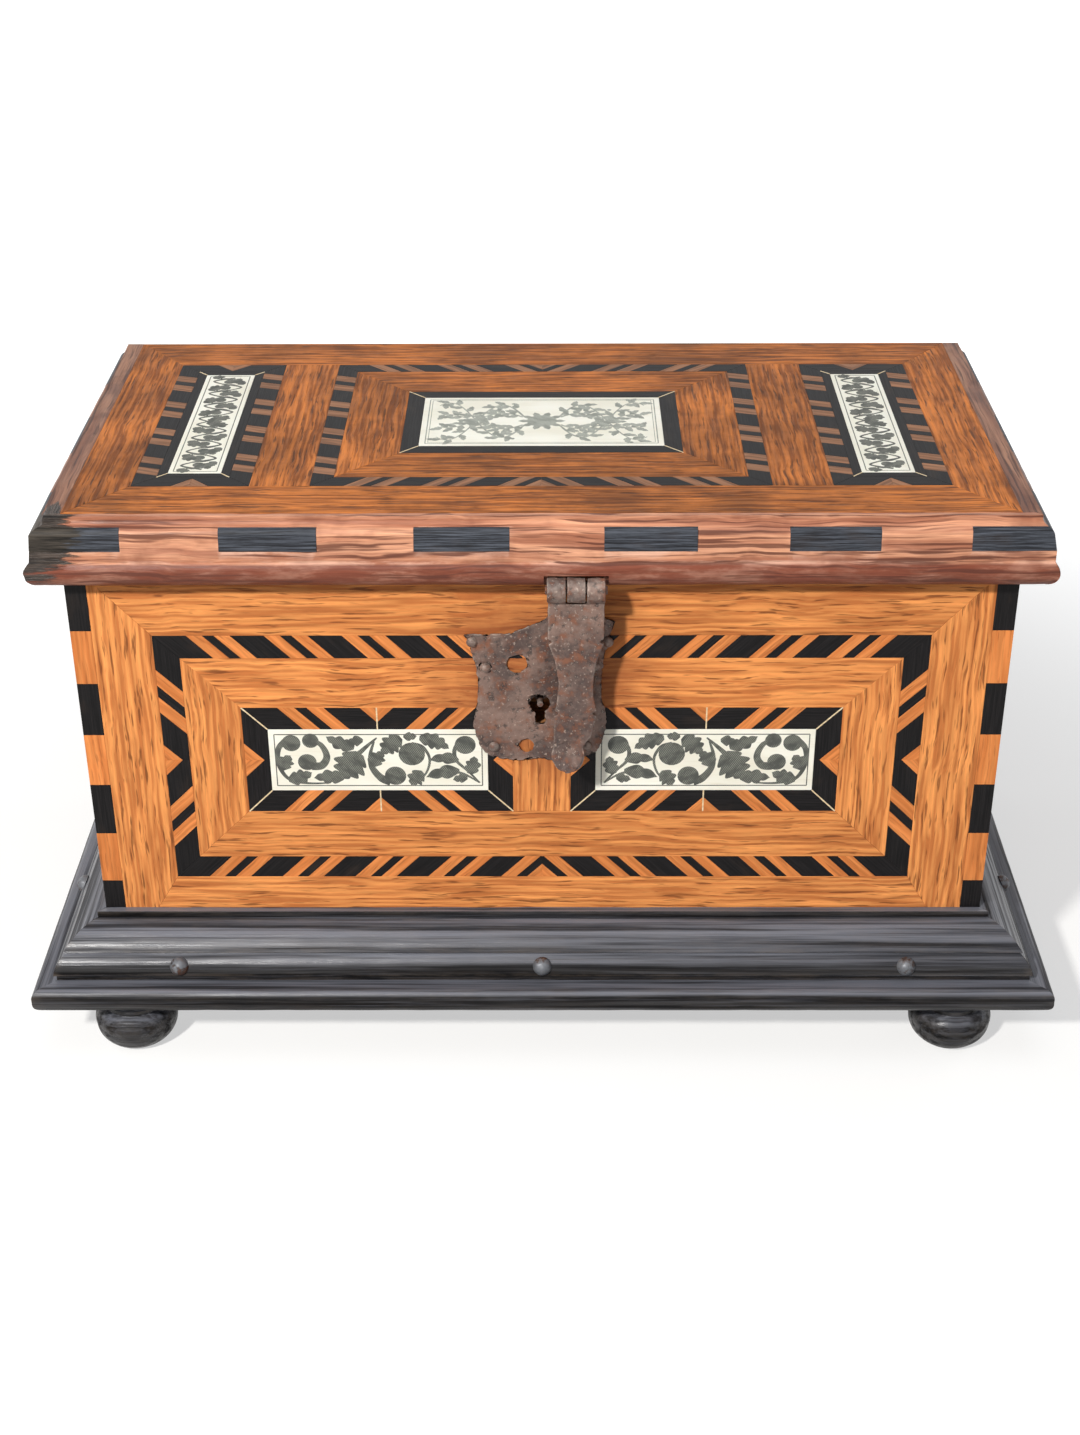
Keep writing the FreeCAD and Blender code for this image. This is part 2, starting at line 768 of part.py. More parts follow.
def lock_nail_spots():
    """Where the lock plate is nailed, on the plate's face."""
    across = {
        PLATE_SHOULDER + "- lock_nail_inset": "plate_top_width / 2 - lock_nail_inset",
        KEY_Z + "+ lock_nail_lift": "plate_waist_width / 2 - lock_nail_inset",
        PLATE_FOOT + "+ lock_nail_inset": "plate_foot_width / 2 - lock_nail_inset",
    }
    face = -number(f"{HALF_DEPTH} + plate_thickness")
    return [
        Vector(number("lock_x") + side * number(out), face, number(level))
        for level, out in across.items()
        for side in (-1, 1)
    ]


def mortise_corners():
    """The hollow behind the lock plate, as a low and a high corner."""
    low = (
        f"{BOLT_TAIL} - mortise_margin",
        f"-{HALF_DEPTH}",
        f"{KEY_Z} - key_sweep",
    )
    high = (
        f"{BOLT_TIP} + bolt_throw + mortise_margin",
        f"-{HALF_DEPTH} + mortise_depth",
        f"{BOLT_Z} + bolt_height / 2 + mortise_headroom",
    )
    return low, high


FACING = Vector(0, -1, 0)
mortise = block("lock_mortise", *mortise_corners())
lock_holes = feature("lock_nail_holes", nail_holes(lock_nail_spots(), FACING))
doc.recompute()
LOCK_CUTTERS = [mortise.Shape, *lock_holes.Shape.Solids]


def face_piece(label, side, polygons, cutters=()):
    """A node of veneer pieces on one side of the case, cut away where the lock needs room."""
    placement = face_placement(side)
    shape = prisms(polygons)
    back = placement.inverse().Matrix
    for cutter in cutters:
        local = cutter.transformGeometry(back)
        pieces = [
            solid.cut(local) if solid.BoundBox.intersect(local.BoundBox) else solid for solid in shape.Solids
        ]
        shape = Part.makeCompound([solid for piece in pieces for solid in piece.Solids])
    return node(feature(label, shape, placement), label)


def side_layout(half_run):
    """The rectangles of one side's inlay, from the outside in."""
    whole = face_rect(half_run)
    border, band, field = (number(s) for s in ("border_side", "band_width", "field_width"))
    below = number(f"{BASE_HEIGHT} + border_bottom")
    band_outer = shrink(whole, border, below, border, number("border_top"))
    band_inner = shrink(band_outer, band)
    return whole, band_outer, band_inner, shrink(band_inner, field)


def front_inlay():
    whole, band_outer, band_inner, centre = side_layout(number(CORE_WIDTH))
    stile = number("stile_width") / 2
    band = number("band_width")
    left = (centre[0], centre[1], -stile, centre[3])
    right = (stile, centre[1], centre[2], centre[3])
    dark, wood = hatched(band_outer, band)
    for panel in (left, right):
        more_dark, more_wood = hatched(panel, band)
        dark += more_dark
        wood += more_wood
    face_piece("front_border", "front", mitred(whole, band_outer), LOCK_CUTTERS)
    face_piece("front_band_ebony", "front", dark, LOCK_CUTTERS)
    face_piece("front_band_wood", "front", wood, LOCK_CUTTERS)
    stile_piece = corners_of((-stile, centre[1], stile, centre[3]))
    face_piece("front_field", "front", mitred(band_inner, centre) + [stile_piece], LOCK_CUTTERS)
    face_piece("front_left_plaque", "front", [corners_of(shrink(left, band))], LOCK_CUTTERS)
    face_piece("front_right_plaque", "front", [corners_of(shrink(right, band))], LOCK_CUTTERS)


def end_inlay():
    whole, band_outer, band_inner, centre = side_layout(number(CORE_DEPTH))
    dark, wood = hatched(band_outer, number("band_width"))
    banding = {"end_band_ebony": dark, "end_band_wood": wood}
    for side in ("left", "right"):
        face_piece(f"{side}_end_border", side, mitred(whole, band_outer))
        face_piece(f"{side}_end_field", side, mitred(band_inner, centre) + [corners_of(centre)])
    for label, polygons in banding.items():
        halves = []
        for side in ("left", "right"):
            halves.append(feature(f"{side}_{label}", prisms(polygons), face_placement(side)))
        node(group(label, *halves), label)


def corner_blocks():
    """Alternating blocks let into the upright corners, ebony first, counted from the lid down."""
    size = number("corner_block")
    courses = int(number("corner_course_count"))
    course = number("visible_height + corner_sunk") / courses
    bottom, top = number(PLINTH_TOP), number(LID_BOTTOM)
    levels = [top - course * step for step in range(courses)] + [bottom]
    woods = {"ebony_corner_blocks": [], "fruitwood_corner_blocks": []}
    half_x, half_y = number(HALF_WIDTH), number(HALF_DEPTH)
    for step, (upper, lower) in enumerate(zip(levels, levels[1:])):
        pieces = list(woods.values())[step % 2]
        for x in (-half_x, half_x - size):
            for y in (-half_y, half_y - size):
                pieces.append(Part.makeBox(size, size, upper - lower, Vector(x, y, lower)))
    for label, pieces in woods.items():
        node(feature(label, Part.makeCompound(pieces)), label)


# The case
def case_boards():
    low, high = PLINTH_TOP, LID_BOTTOM
    blank = block(
        "front_blank",
        (f"-{CORE_WIDTH}", f"-{HALF_DEPTH} + veneer", low),
        (CORE_WIDTH, f"-{INNER_DEPTH}", high),
    )
    node(cut("front_board", blank, mortise, lock_holes), "front_board")
    blank = block("back_blank", (f"-{CORE_WIDTH}", INNER_DEPTH, low), (CORE_WIDTH, HALF_DEPTH, high))
    holes = feature("hinge_case_nail_holes", nail_holes(hinge_case_nail_spots(), -FACING))
    node(cut("back_board", blank, holes), "back_board")
    for side, sign in (("left", -1), ("right", 1)):
        inner, outer = (f"{sign} * {INNER_WIDTH}", f"{sign} * ({HALF_WIDTH} - veneer)")
        shoulder = f"{sign} * {CORE_WIDTH}"
        x_low, x_high = (outer, inner) if sign < 0 else (inner, outer)
        step_low, step_high = (shoulder, inner) if sign < 0 else (inner, shoulder)
        blank = block(f"{side}_end_blank", (x_low, f"-{CORE_DEPTH}", low), (x_high, CORE_DEPTH, high))
        front_step = block(
            f"{side}_front_rabbet", (step_low, f"-{CORE_DEPTH}", low), (step_high, f"-{INNER_DEPTH}", high)
        )
        back_step = block(
            f"{side}_back_rabbet", (step_low, INNER_DEPTH, low), (step_high, CORE_DEPTH, high)
        )
        node(cut(f"{side}_end_board", blank, front_step, back_step), f"{side}_end_board")
    floor = block(
        "bottom_board",
        (f"-{INNER_WIDTH}", f"-{INNER_DEPTH}", low),
        (INNER_WIDTH, INNER_DEPTH, f"{low} + bottom_thickness"),
    )
    node(floor, "bottom_board")


# Rear hinges
def hinge_centres():
    return (("left", f"(hinge_end_inset - {HALF_WIDTH})"), ("right", f"({HALF_WIDTH} - hinge_end_inset)"))


def nail_row(leaf, first, end):
    """How far along a hinge leaf its three nails sit, from the first to the one near its end."""
    pitch = number(f"({leaf} - {first} - {end}) / 2")
    return [number(first) + step * pitch for step in range(3)]


def hinge_case_nail_spots():
    y = number(f"{HALF_DEPTH} + hinge_leaf_thickness")
    top = number(HINGE_Z)
    row = nail_row("hinge_case_leaf_length", "hinge_nail_first", "hinge_nail_end")
    return [Vector(number(x), y, top - down) for _, x in hinge_centres() for down in row]


def hinge_lid_nail_spots():
    back, z = number(HALF_DEPTH), number(LID_BOTTOM)
    row = nail_row("hinge_lid_leaf_length", "hinge_lid_nail_first", "hinge_lid_nail_end")
    return [Vector(number(x), back - inward, z) for _, x in hinge_centres() for inward in row]


def hasp_nail_spots():
    front = -number(HALF_DEPTH) + number("hasp_nail_first")
    pitch = number("hasp_nail_pitch")
    return [Vector(number("hasp_x"), front + step * pitch, number(LID_BOTTOM)) for step in range(2)]


def knuckles(name, x, length, radius, y, z):
    """The two outer knuckles of a three-knuckle barrel, and its middle one."""
    inner = f"({length} / 6 + knuckle_gap / 2)"
    outer = f"({length} / 2)"
    middle = f"({length} / 6 - knuckle_gap / 2)"
    left = rod_along_x(f"{name}_left_knuckle", radius, f"{x} - {outer}", f"{x} - {inner}", y, z)
    right = rod_along_x(f"{name}_right_knuckle", radius, f"{x} + {inner}", f"{x} + {outer}", y, z)
    centre = rod_along_x(f"{name}_middle_knuckle", radius, f"{x} - {middle}", f"{x} + {middle}", y, z)
    wide = f"{radius} + barrel_play"
    room = rod_along_x(f"{name}_middle_room", wide, f"{x} - {inner}", f"{x} + {inner}", y, z)
    return left, right, centre, room


def hinge(side, x):
    """One rear hinge: the leaf nailed to the back of the case and the leaf let into the lid."""
    radius, length = "hinge_barrel_radius", "hinge_barrel_length"
    half_leaf = "hinge_leaf_width / 2"
    left, right, middle, room = knuckles(f"{side}_hinge", x, length, radius, HINGE_Y, HINGE_Z)
    bore = rod_along_x(
        f"{side}_hinge_bore",
        "hinge_pin_radius + pin_play",
        f"{x} - {length}",
        f"{x} + {length}",
        HINGE_Y,
        HINGE_Z,
    )
    leaf = block(
        f"{side}_hinge_case_plate",
        (f"{x} - {half_leaf}", HALF_DEPTH, f"{HINGE_Z} - hinge_case_leaf_length"),
        (f"{x} + {half_leaf}", f"{HALF_DEPTH} + hinge_leaf_thickness", HINGE_Z),
    )
    spots = [at for at in hinge_case_nail_spots() if abs(at.x - number(x)) < number(half_leaf)]
    holes = feature(f"{side}_hinge_case_holes", nail_holes(spots, -FACING))
    rolled = fuse(f"{side}_hinge_case_rolled", leaf, left, right)
    label = f"{side}_hinge_case_leaf"
    node(cut(label, rolled, room, bore, holes), label)

    tongue = block(
        f"{side}_hinge_tongue",
        (f"{x} - ({length} / 6 - knuckle_gap / 2)", f"{HALF_DEPTH} - hinge_leaf_thickness", LID_BOTTOM),
        (f"{x} + ({length} / 6 - knuckle_gap / 2)", HINGE_Y, f"{LID_BOTTOM} + hinge_leaf_thickness"),
    )
    plate = block(
        f"{side}_hinge_lid_plate",
        (f"{x} - {half_leaf}", f"{HALF_DEPTH} - hinge_lid_leaf_length", LID_BOTTOM),
        (f"{x} + {half_leaf}", f"{HALF_DEPTH} - barrel_play", f"{LID_BOTTOM} + hinge_leaf_thickness"),
    )
    spots = [at for at in hinge_lid_nail_spots() if abs(at.x - number(x)) < number(half_leaf)]
    holes = feature(f"{side}_hinge_lid_holes", nail_holes(spots, -VERTICAL))
    rolled = fuse(f"{side}_hinge_lid_rolled", plate, tongue, middle)
    label = f"{side}_hinge_lid_leaf"
    node(cut(label, rolled, bore, holes), label)
    over = "hinge_pin_overlength"
    return rod_along_x(
        f"{side}_hinge_pin",
        "hinge_pin_radius",
        f"{x} - {length} / 2 - {over}",
        f"{x} + {length} / 2 + {over}",
        HINGE_Y,
        HINGE_Z,
    )


# The lid
def lid_profile(lap):
    """The lid moulding's section, from its underside up, with its back so far inside the case's face."""
    return [
        (lap, "0"),
        (f"-{TORUS_CENTRE}", "0", "-tan((90 + torus_turn) / 4)"),
        (f"-{STRIP_REACH}", TORUS_RISE),
        (f"-{STRIP_REACH}", STRIP_TOP),
        (f"-({STRIP_REACH} - slope_width)", f"{STRIP_TOP} + slope_height", "-bead_bulge"),
        (f"-{COVE_REACH}", BEAD_TOP, "cove_bulge"),
        ("-lid_edge_overhang", f"{BEAD_TOP} + cove_height"),
        ("-lid_edge_overhang", LID_THICKNESS),
        (lap, LID_THICKNESS),
    ]


def moulding_blocks(side):
    """Boxes round the ebony blocks of one side's moulding: every other segment, from the front corners on.

    Along the front, the blocks towards the middle drift to the right, as they were set out by eye.
    """
    reach = number(LID_REACH)
    low, high = number(f"{LID_BOTTOM} + {STRIP_TOP}"), number(f"{LID_BOTTOM} + {BEAD_TOP}")
    root = number(f"{COVE_REACH} - lid_block_depth")
    half_x, half_y = number(HALF_WIDTH), number(HALF_DEPTH)
    thick, tall = reach - root, high - low
    boxes = []
    if side == "front":
        count, drift = int(number("front_segments")), number("front_drift")
        start, run = -half_x - reach, 2 * (half_x + reach)
    else:
        count, drift = int(number("side_segments")), 0
        start, run = -half_y - reach, 2 * half_y + reach
    ends = [start + run * i / count + drift * math.sin(math.pi * i / count) for i in range(count + 1)]
    for here, there in zip(ends[::2], ends[1::2]):
        if side == "front":
            boxes.append(Part.makeBox(there - here, thick, tall, Vector(here, -half_y - reach, low)))
        else:
            x = half_x + root if side == "right" else -half_x - reach
            boxes.append(Part.makeBox(thick, there - here, tall, Vector(x, here, low)))
    return feature(f"lid_{side}_block_boxes", Part.makeCompound(boxes))


def lid_mouldings():
    half_leaf = "(hasp_leaf_width / 2 + recess_play)"
    recess = block(
        "hasp_leaf_recess",
        (f"hasp_x - {half_leaf}", HASP_Y, LID_BOTTOM),
        (f"hasp_x + {half_leaf}", f"-{HALF_DEPTH} + hasp_leaf_length", f"{LID_BOTTOM} + hasp_leaf_thickness"),
    )
    half_barrel = "(hasp_barrel_length / 2 + hasp_pin_overlength + barrel_play)"
    notch = rod_along_x(
        "hasp_barrel_notch",
        "hasp_barrel_radius + barrel_play",
        f"hasp_x - {half_barrel}",
        f"hasp_x + {half_barrel}",
        HASP_Y,
        HASP_Z,
    )
    finishes = {"front": ("mitre", "mitre"), "left": ("square", "mitre"), "right": ("mitre", "square")}
    dark = []
    for side, ends in finishes.items():
        angle, run, seat = SIDES[side]
        lap = "-lid_board_front" if side == "front" else "lid_side_lap"
        strip = moulding(
            f"lid_{side}_strip",
            lid_profile(lap),
            run,
            LID_REACH,
            lap,
            LID_THICKNESS,
            *ends,
            butt="lid_board_front",
        )
        place(strip, *seat, LID_BOTTOM, Rotation(VERTICAL, angle))
        boxes = moulding_blocks(side)
        dark.append(common(f"lid_{side}_blocks", strip, boxes))
        label = f"lid_moulding_{side}"
        tools = (boxes, recess, notch) if side == "front" else (boxes,)
        node(cut(label, strip, *tools), label)
    node(group("lid_moulding_blocks", *dark), "lid_moulding_blocks")
    return recess


def lid_board(hasp_recess):
    half_x = f"({HALF_WIDTH} - lid_side_lap)"
    blank = block(
        "lid_blank",
        (f"-{half_x}", f"-({HALF_DEPTH} + lid_board_front)", LID_BOTTOM),
        (half_x, HALF_DEPTH, f"{LID_TOP} - veneer"),
    )
    tools = [hasp_recess]
    for side, x in hinge_centres():
        half_leaf = "(hinge_leaf_width / 2 + recess_play)"
        tools.append(
            block(
                f"{side}_hinge_recess",
                (f"{x} - {half_leaf}", f"{HALF_DEPTH} - hinge_lid_leaf_length", LID_BOTTOM),
                (f"{x} + {half_leaf}", HINGE_Y, f"{LID_BOTTOM} + hinge_leaf_thickness"),
            )
        )
    spots = hinge_lid_nail_spots() + hasp_nail_spots()
    tools.append(feature("lid_nail_holes", nail_holes(spots, -VERTICAL)))
    node(cut("lid_board", blank, *tools), "lid_board")


def lid_piece(label, polygons):
    placement = Placement(Vector(0, 0, number(f"{LID_TOP} - veneer")), Rotation())
    return node(feature(label, prisms(polygons), placement), label)


def lid_inlay():
    half_x, half_y = number(f"{HALF_WIDTH} - lid_side_lap"), number(HALF_DEPTH)
    whole = (-half_x, -half_y - number("lid_board_front"), half_x, half_y)
    side_border = number("lid_border_side")
    inner = shrink(whole, side_border, number("lid_border_front"), side_border, number("lid_border_back"))
    panel, rail = number("lid_side_panel"), number("lid_cross_rail")
    band, fillet = number("lid_band_width"), number("lid_side_fillet")
    low, high = inner[1], inner[3]
    left = (inner[0], low, inner[0] + panel, high)
    right = (inner[2] - panel, low, inner[2], high)
    centre = shrink(inner, panel + rail, 0, panel + rail, 0)
    left_rail = (left[2], low, centre[0], high)
    right_rail = (centre[2], low, right[0], high)
    dark, wood = [], []
    for rect in (left, centre, right):
        more_dark, more_wood = hatched(rect, band, number("lid_stripe_rake"))
        dark += more_dark
        wood += more_wood
    field_outer = shrink(centre, band)
    frame_outer = shrink(field_outer, number("lid_field_width"))
    plaque = shrink(frame_outer, number("lid_centre_fillet"))
    fillets = mitred(frame_outer, plaque)
    lid_piece("lid_border", mitred(whole, inner))
    lid_piece("lid_cross_rails", [corners_of(left_rail), corners_of(right_rail)])
    lid_piece("lid_band_ebony", dark)
    lid_piece("lid_band_wood", wood)
    lid_piece("lid_centre_field", mitred(field_outer, frame_outer))
    lid_piece("lid_centre_plaque", [corners_of(plaque)])
    for side, rect in (("left", left), ("right", right)):
        outer = shrink(rect, band)
        fillets += mitred(outer, shrink(outer, fillet))
        lid_piece(f"lid_{side}_plaque", [corners_of(shrink(outer, fillet))])
    lid_piece("lid_fillets", fillets)


# The hasp
def strap_face():
    """The strap seen from the front: straight to a first nick, waisted to a second, then a round tip."""
    body = new_body("strap_face")
    sketch = sketch_on(body, "XZ_Plane")
    half, lower, neck = "(strap_width / 2)", "(strap_lower_width / 2)", "(strap_neck_width / 2)"
    tip_rise = f"sqrt(strap_tip_radius^2 - {neck}^2)"
    tip_join = f"(-(strap_reach - strap_tip_radius) + {tip_rise})"
    edge = [
        (half, "0"),
        (half, "-strap_upper_nick"),
        (f"({half} - strap_nick)", "-strap_upper_nick - strap_nick / 2"),
        (half, "-strap_upper_nick - strap_nick"),
        (lower, "-strap_lower_nick"),
        (f"({lower} - strap_nick)", "-strap_lower_nick - strap_nick / 2"),
        (lower, "-strap_lower_nick - strap_nick"),
    ]
    waist = 3
    right = [(*point, "strap_waist_bulge") if i == waist else point for i, point in enumerate(edge)]
    right.append((f"({lower} - strap_nick)", "-strap_shoulder"))
    right.append((f"strap_tip_shift + {neck}", tip_join, f"-(strap_tip_radius + {tip_rise}) / {neck}"))
    left = [(f"strap_tip_shift - {neck}", tip_join)]
    for i, (u, v) in reversed(list(enumerate(edge))):
        left.append((f"-{u}", v, "strap_waist_bulge") if i == waist + 1 else (f"-{u}", v))
    outline(sketch, right + left)
    pad(body, sketch, "4 * curl_radius", symmetric=True)
    return place(body, "hasp_x", HASP_Y, HASP_Z)


def strap_side():
    """The strap seen from its edge: flat, with its finger tip curling away from the case."""
    body = new_body("strap_side")
    sketch = sketch_on(body, "YZ_Plane")
    half = "(strap_thickness / 2)"
    back, front = f"(curl_radius + {half})", f"(curl_radius - {half})"
    outline(
        sketch,
        [
            (half, "0"),
            (f"-{half}", "0"),
            (f"-{half}", "-curl_start", "-tan(curl_turn / 4)"),
            (f"-curl_radius + {front} * cos(curl_turn)", f"-curl_start - {front} * sin(curl_turn)"),
            (
                f"-curl_radius + {back} * cos(curl_turn)",
                f"-curl_start - {back} * sin(curl_turn)",
                "tan(curl_turn / 4)",
            ),
            (half, "-curl_start"),
        ],
    )
    pad(body, sketch, "2 * strap_width", symmetric=True)
    return place(body, "hasp_x", HASP_Y, HASP_Z)


def hasp():
    radius, length = "hasp_barrel_radius", "hasp_barrel_length"
    left, right, middle, room = knuckles("hasp", "hasp_x", length, radius, HASP_Y, HASP_Z)
    bore = rod_along_x(
        "hasp_bore", "hasp_pin_radius + pin_play", f"hasp_x - {length}", f"hasp_x + {length}", HASP_Y, HASP_Z
    )
    plate = common("strap_plate", strap_face(), strap_side())
    node(cut("hasp_strap", fuse("strap_rolled", plate, left, right), room, bore), "hasp_strap")

    top = f"({BOLT_Z} - staple_drop + bolt_height / 2 + staple_play + staple_leg)"
    bottom = f"({BOLT_Z} - staple_drop - bolt_height / 2 - staple_play - staple_leg)"
    seat = f"({HASP_Y} + strap_thickness / 2)"
    x_low, x_high = "hasp_x - staple_width / 2", "hasp_x + staple_width / 2"
    blank = block("staple_blank", (x_low, seat, bottom), (x_high, f"{seat} + staple_length", top))
    eye = block(
        "staple_eye",
        (x_low, seat, f"{bottom} + staple_leg"),
        (x_high, f"{seat} + staple_length - staple_bar", f"{top} - staple_leg"),
    )
    node(cut("hasp_staple", blank, eye), "hasp_staple")

    tongue_half = f"({length} / 6 - knuckle_gap / 2)"
    ceiling = f"{LID_BOTTOM} + hasp_leaf_thickness"
    clear = f"({HASP_Y} + {radius} + barrel_play)"
    tongue = block(
        "hasp_tongue",
        (f"hasp_x - {tongue_half}", HASP_Y, LID_BOTTOM),
        (f"hasp_x + {tongue_half}", f"{clear} + strap_thickness", ceiling),
    )
    leaf = block(
        "hasp_leaf_plate",
        ("hasp_x - hasp_leaf_width / 2", clear, LID_BOTTOM),
        ("hasp_x + hasp_leaf_width / 2", f"-{HALF_DEPTH} + hasp_leaf_length", ceiling),
    )
    holes = feature("hasp_leaf_holes", nail_holes(hasp_nail_spots(), -VERTICAL))
    rolled = fuse("hasp_leaf_rolled", leaf, tongue, middle)
    node(cut("hasp_hinge_leaf", rolled, bore, holes), "hasp_hinge_leaf")
    over = "hasp_pin_overlength"
    pin = rod_along_x(
        "hasp_hinge_pin",
        "hasp_pin_radius",
        f"hasp_x - {length} / 2 - {over}",
        f"hasp_x + {length} / 2 + {over}",
        HASP_Y,
        HASP_Z,
    )
    node(pin, "hasp_hinge_pin")


# The lock
def lock_plate():
    """The nailed plate: a top that rises to the right, waisted sides, keyhole, slot and old nail holes."""
    body = new_body("lock_plate_blank")
    sketch = sketch_on(body, "XZ_Plane")
    x = "lock_x"
    peak = f"{PLATE_SHOULDER} + plate_peak"
    waist = f"{KEY_Z} + plate_waist_lift"
    hem = f"{PLATE_FOOT} - plate_bottom_scallop"
    top, middle, foot_half = (f"plate_{part}_width / 2" for part in ("top", "waist", "foot"))
    outline(
        sketch,
        [
            (f"{x} + plate_crest_right", peak, "-plate_top_bulge"),
            (f"{x} + {top}", f"{PLATE_SHOULDER} + plate_right_rise", "plate_side_bulge"),
            (f"{x} + {middle}", waist, "-plate_foot_bulge"),
            (f"{x} + {foot_half}", PLATE_FOOT, "-plate_hem_bulge"),
            (x, hem, "-plate_hem_bulge"),
            (f"{x} - {foot_half}", PLATE_FOOT, "-plate_foot_bulge"),
            (f"{x} - {middle}", waist, "plate_side_bulge"),
            (f"{x} - {top}", PLATE_SHOULDER),
            (f"{x} - plate_crest_left", PLATE_SHOULDER, "plate_crest_bulge"),
        ],
    )
    half_slot = "(keyhole_slot / 2)"
    shoulder = f"{KEY_Z} - sqrt(keyhole_radius^2 - {half_slot}^2)"
    wrap = "(2 * keyhole_radius + sqrt(4 * keyhole_radius^2 - keyhole_slot^2)) / keyhole_slot"
    outline(
        sketch,
        [
            (f"{x} - {half_slot}", f"{KEY_Z} - keyhole_length"),
            (f"{x} + {half_slot}", f"{KEY_Z} - keyhole_length"),
            (f"{x} + {half_slot}", shoulder, wrap),
            (f"{x} - {half_slot}", shoulder),
        ],
    )
    reach = "(bolt_height / 2 + staple_play + staple_leg + slot_play)"
    slot_low, slot_high = f"{BOLT_Z} - staple_drop - {reach}", f"{BOLT_Z} - staple_drop + {reach} + slot_rise"
    slot_left, slot_right = (f"hasp_x {sign} (staple_width / 2 + slot_play)" for sign in "-+")
    outline(
        sketch,
        [(slot_left, slot_low), (slot_right, slot_low), (slot_right, slot_high), (slot_left, slot_high)],
    )
    hole(sketch, f"{x} - upper_hole_shift", f"{KEY_Z} + upper_hole_lift", "upper_hole_radius")
    hole(sketch, f"{x} - lower_hole_shift", f"{KEY_Z} - lower_hole_drop", "lower_hole_radius")
    pad(body, sketch, "plate_thickness")
    place(body, y=f"-{HALF_DEPTH}")
    node(cut("lock_plate", body, lock_holes), "lock_plate")


def lock_works():
    face = f"-{HALF_DEPTH}"
    back = f"({face} + {BOLT_BACK})"
    half = "(bolt_height / 2)"
    blank = block(
        "bolt_blank",
        (BOLT_TAIL, f"{face} + bolt_setback", f"{BOLT_Z} - {half}"),
        (BOLT_TIP, back, f"{BOLT_Z} + {half}"),
    )
    talon = block(
        "bolt_talon",
        ("lock_x - bolt_notch / 2", face, f"{BOLT_Z} - {half}"),
        ("lock_x + bolt_notch / 2", f"{back} + bolt_setback", f"{BOLT_Z} - {half} + bolt_notch_depth"),
    )
    node(cut("lock_bolt", blank, talon), "lock_bolt")

    near_tail = f"({BOLT_TAIL} + bolt_throw + guide_inset)"
    near_tip = f"({BOLT_TIP} - guide_inset - guide_width)"
    guides = []
    for place_name, x in (("tail", near_tail), ("tip", near_tip)):
        inside = f"({half} + guide_play)"
        outer = block(
            f"{place_name}_guide_blank",
            (x, face, f"{BOLT_Z} - {inside} - guide_wall"),
            (f"{x} + guide_width", f"{back} + guide_play + guide_wall", f"{BOLT_Z} + {inside} + guide_wall"),
        )
        channel = block(
            f"{place_name}_guide_channel",
            (x, face, f"{BOLT_Z} - {inside}"),
            (f"{x} + guide_width", f"{back} + guide_play", f"{BOLT_Z} + {inside}"),
        )
        guides.append(cut(f"{place_name}_guide", outer, channel))
    node(group("bolt_guides", *guides), "bolt_guides")

    body = new_body("bolt_spring")
    sketch = sketch_on(body, "XZ_Plane")
    left, right = f"{near_tail} + guide_width + spring_end_gap", f"{near_tip} - spring_end_gap"
    sag = f"((({right}) - ({left})) / 2 * spring_bulge)"
    ends = f"{BOLT_Z} + {half} + spring_gap + {sag}"
    outline(
        sketch,
        [
            (left, ends, "spring_bulge"),
            (right, ends),
            (right, f"{ends} + spring_thickness", "-spring_bulge"),
            (left, f"{ends} + spring_thickness"),
        ],
    )
    pad(body, sketch, "spring_depth", backwards=True)
    place(body, y=face)
    node(body, "bolt_spring")

    inwards = Rotation(Vector(1, 0, 0), -90)
    start = f"({face} - drill_pin_proud)"
    floor = f"({face} + mortise_depth)"
    post = rod("drill_post", "drill_pin_radius", f"{floor} - {start}", ("lock_x", start, KEY_Z), inwards)
    flange = rod(
        "drill_flange",
        "drill_pin_flange",
        "drill_pin_flange_thickness",
        ("lock_x", f"{floor} - drill_pin_flange_thickness", KEY_Z),
        inwards,
    )
    node(fuse("drill_pin", post, flange), "drill_pin")


def nails():
    case = [iron_nail(at, FACING) for at in lock_nail_spots()]
    case += [iron_nail(at, -FACING) for at in hinge_case_nail_spots()]
    node(feature("case_nails", Part.makeCompound(case)), "case_nails")
    lid = [iron_nail(at, -VERTICAL) for at in hinge_lid_nail_spots() + hasp_nail_spots()]
    node(feature("lid_nails", Part.makeCompound(lid)), "lid_nails")


case_boards()
corner_blocks()
front_inlay()
end_inlay()
lid_board(lid_mouldings())
lid_inlay()
pins = [hinge(side, x) for side, x in hinge_centres()]
node(group("hinge_pins", *pins), "hinge_pins")
hasp()
lock_plate()
lock_works()
nails()
doc.recompute()

# Every object has to be up to date, and every piece a valid solid, before anything is written
for thing in doc.Objects:
    if {"Invalid", "Error"} & set(thing.State):
        raise RuntimeError(f"{thing.Name} failed: {thing.State}")
for piece in nodes:
    if piece.Shape.isNull() or not piece.Shape.isValid() or not piece.Shape.Solids:
        raise RuntimeError(f"{piece.Label} has no valid solid")
os.makedirs("parts", exist_ok=True)
for piece in nodes:
    piece.Shape.exportStep(f"parts/{piece.Label}.step")
print(len(nodes), "pieces,", sum(len(piece.Shape.Solids) for piece in nodes), "solids")
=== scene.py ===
import json
import math
import random

import bmesh
import bpy
from mathutils import Matrix, Vector, noise

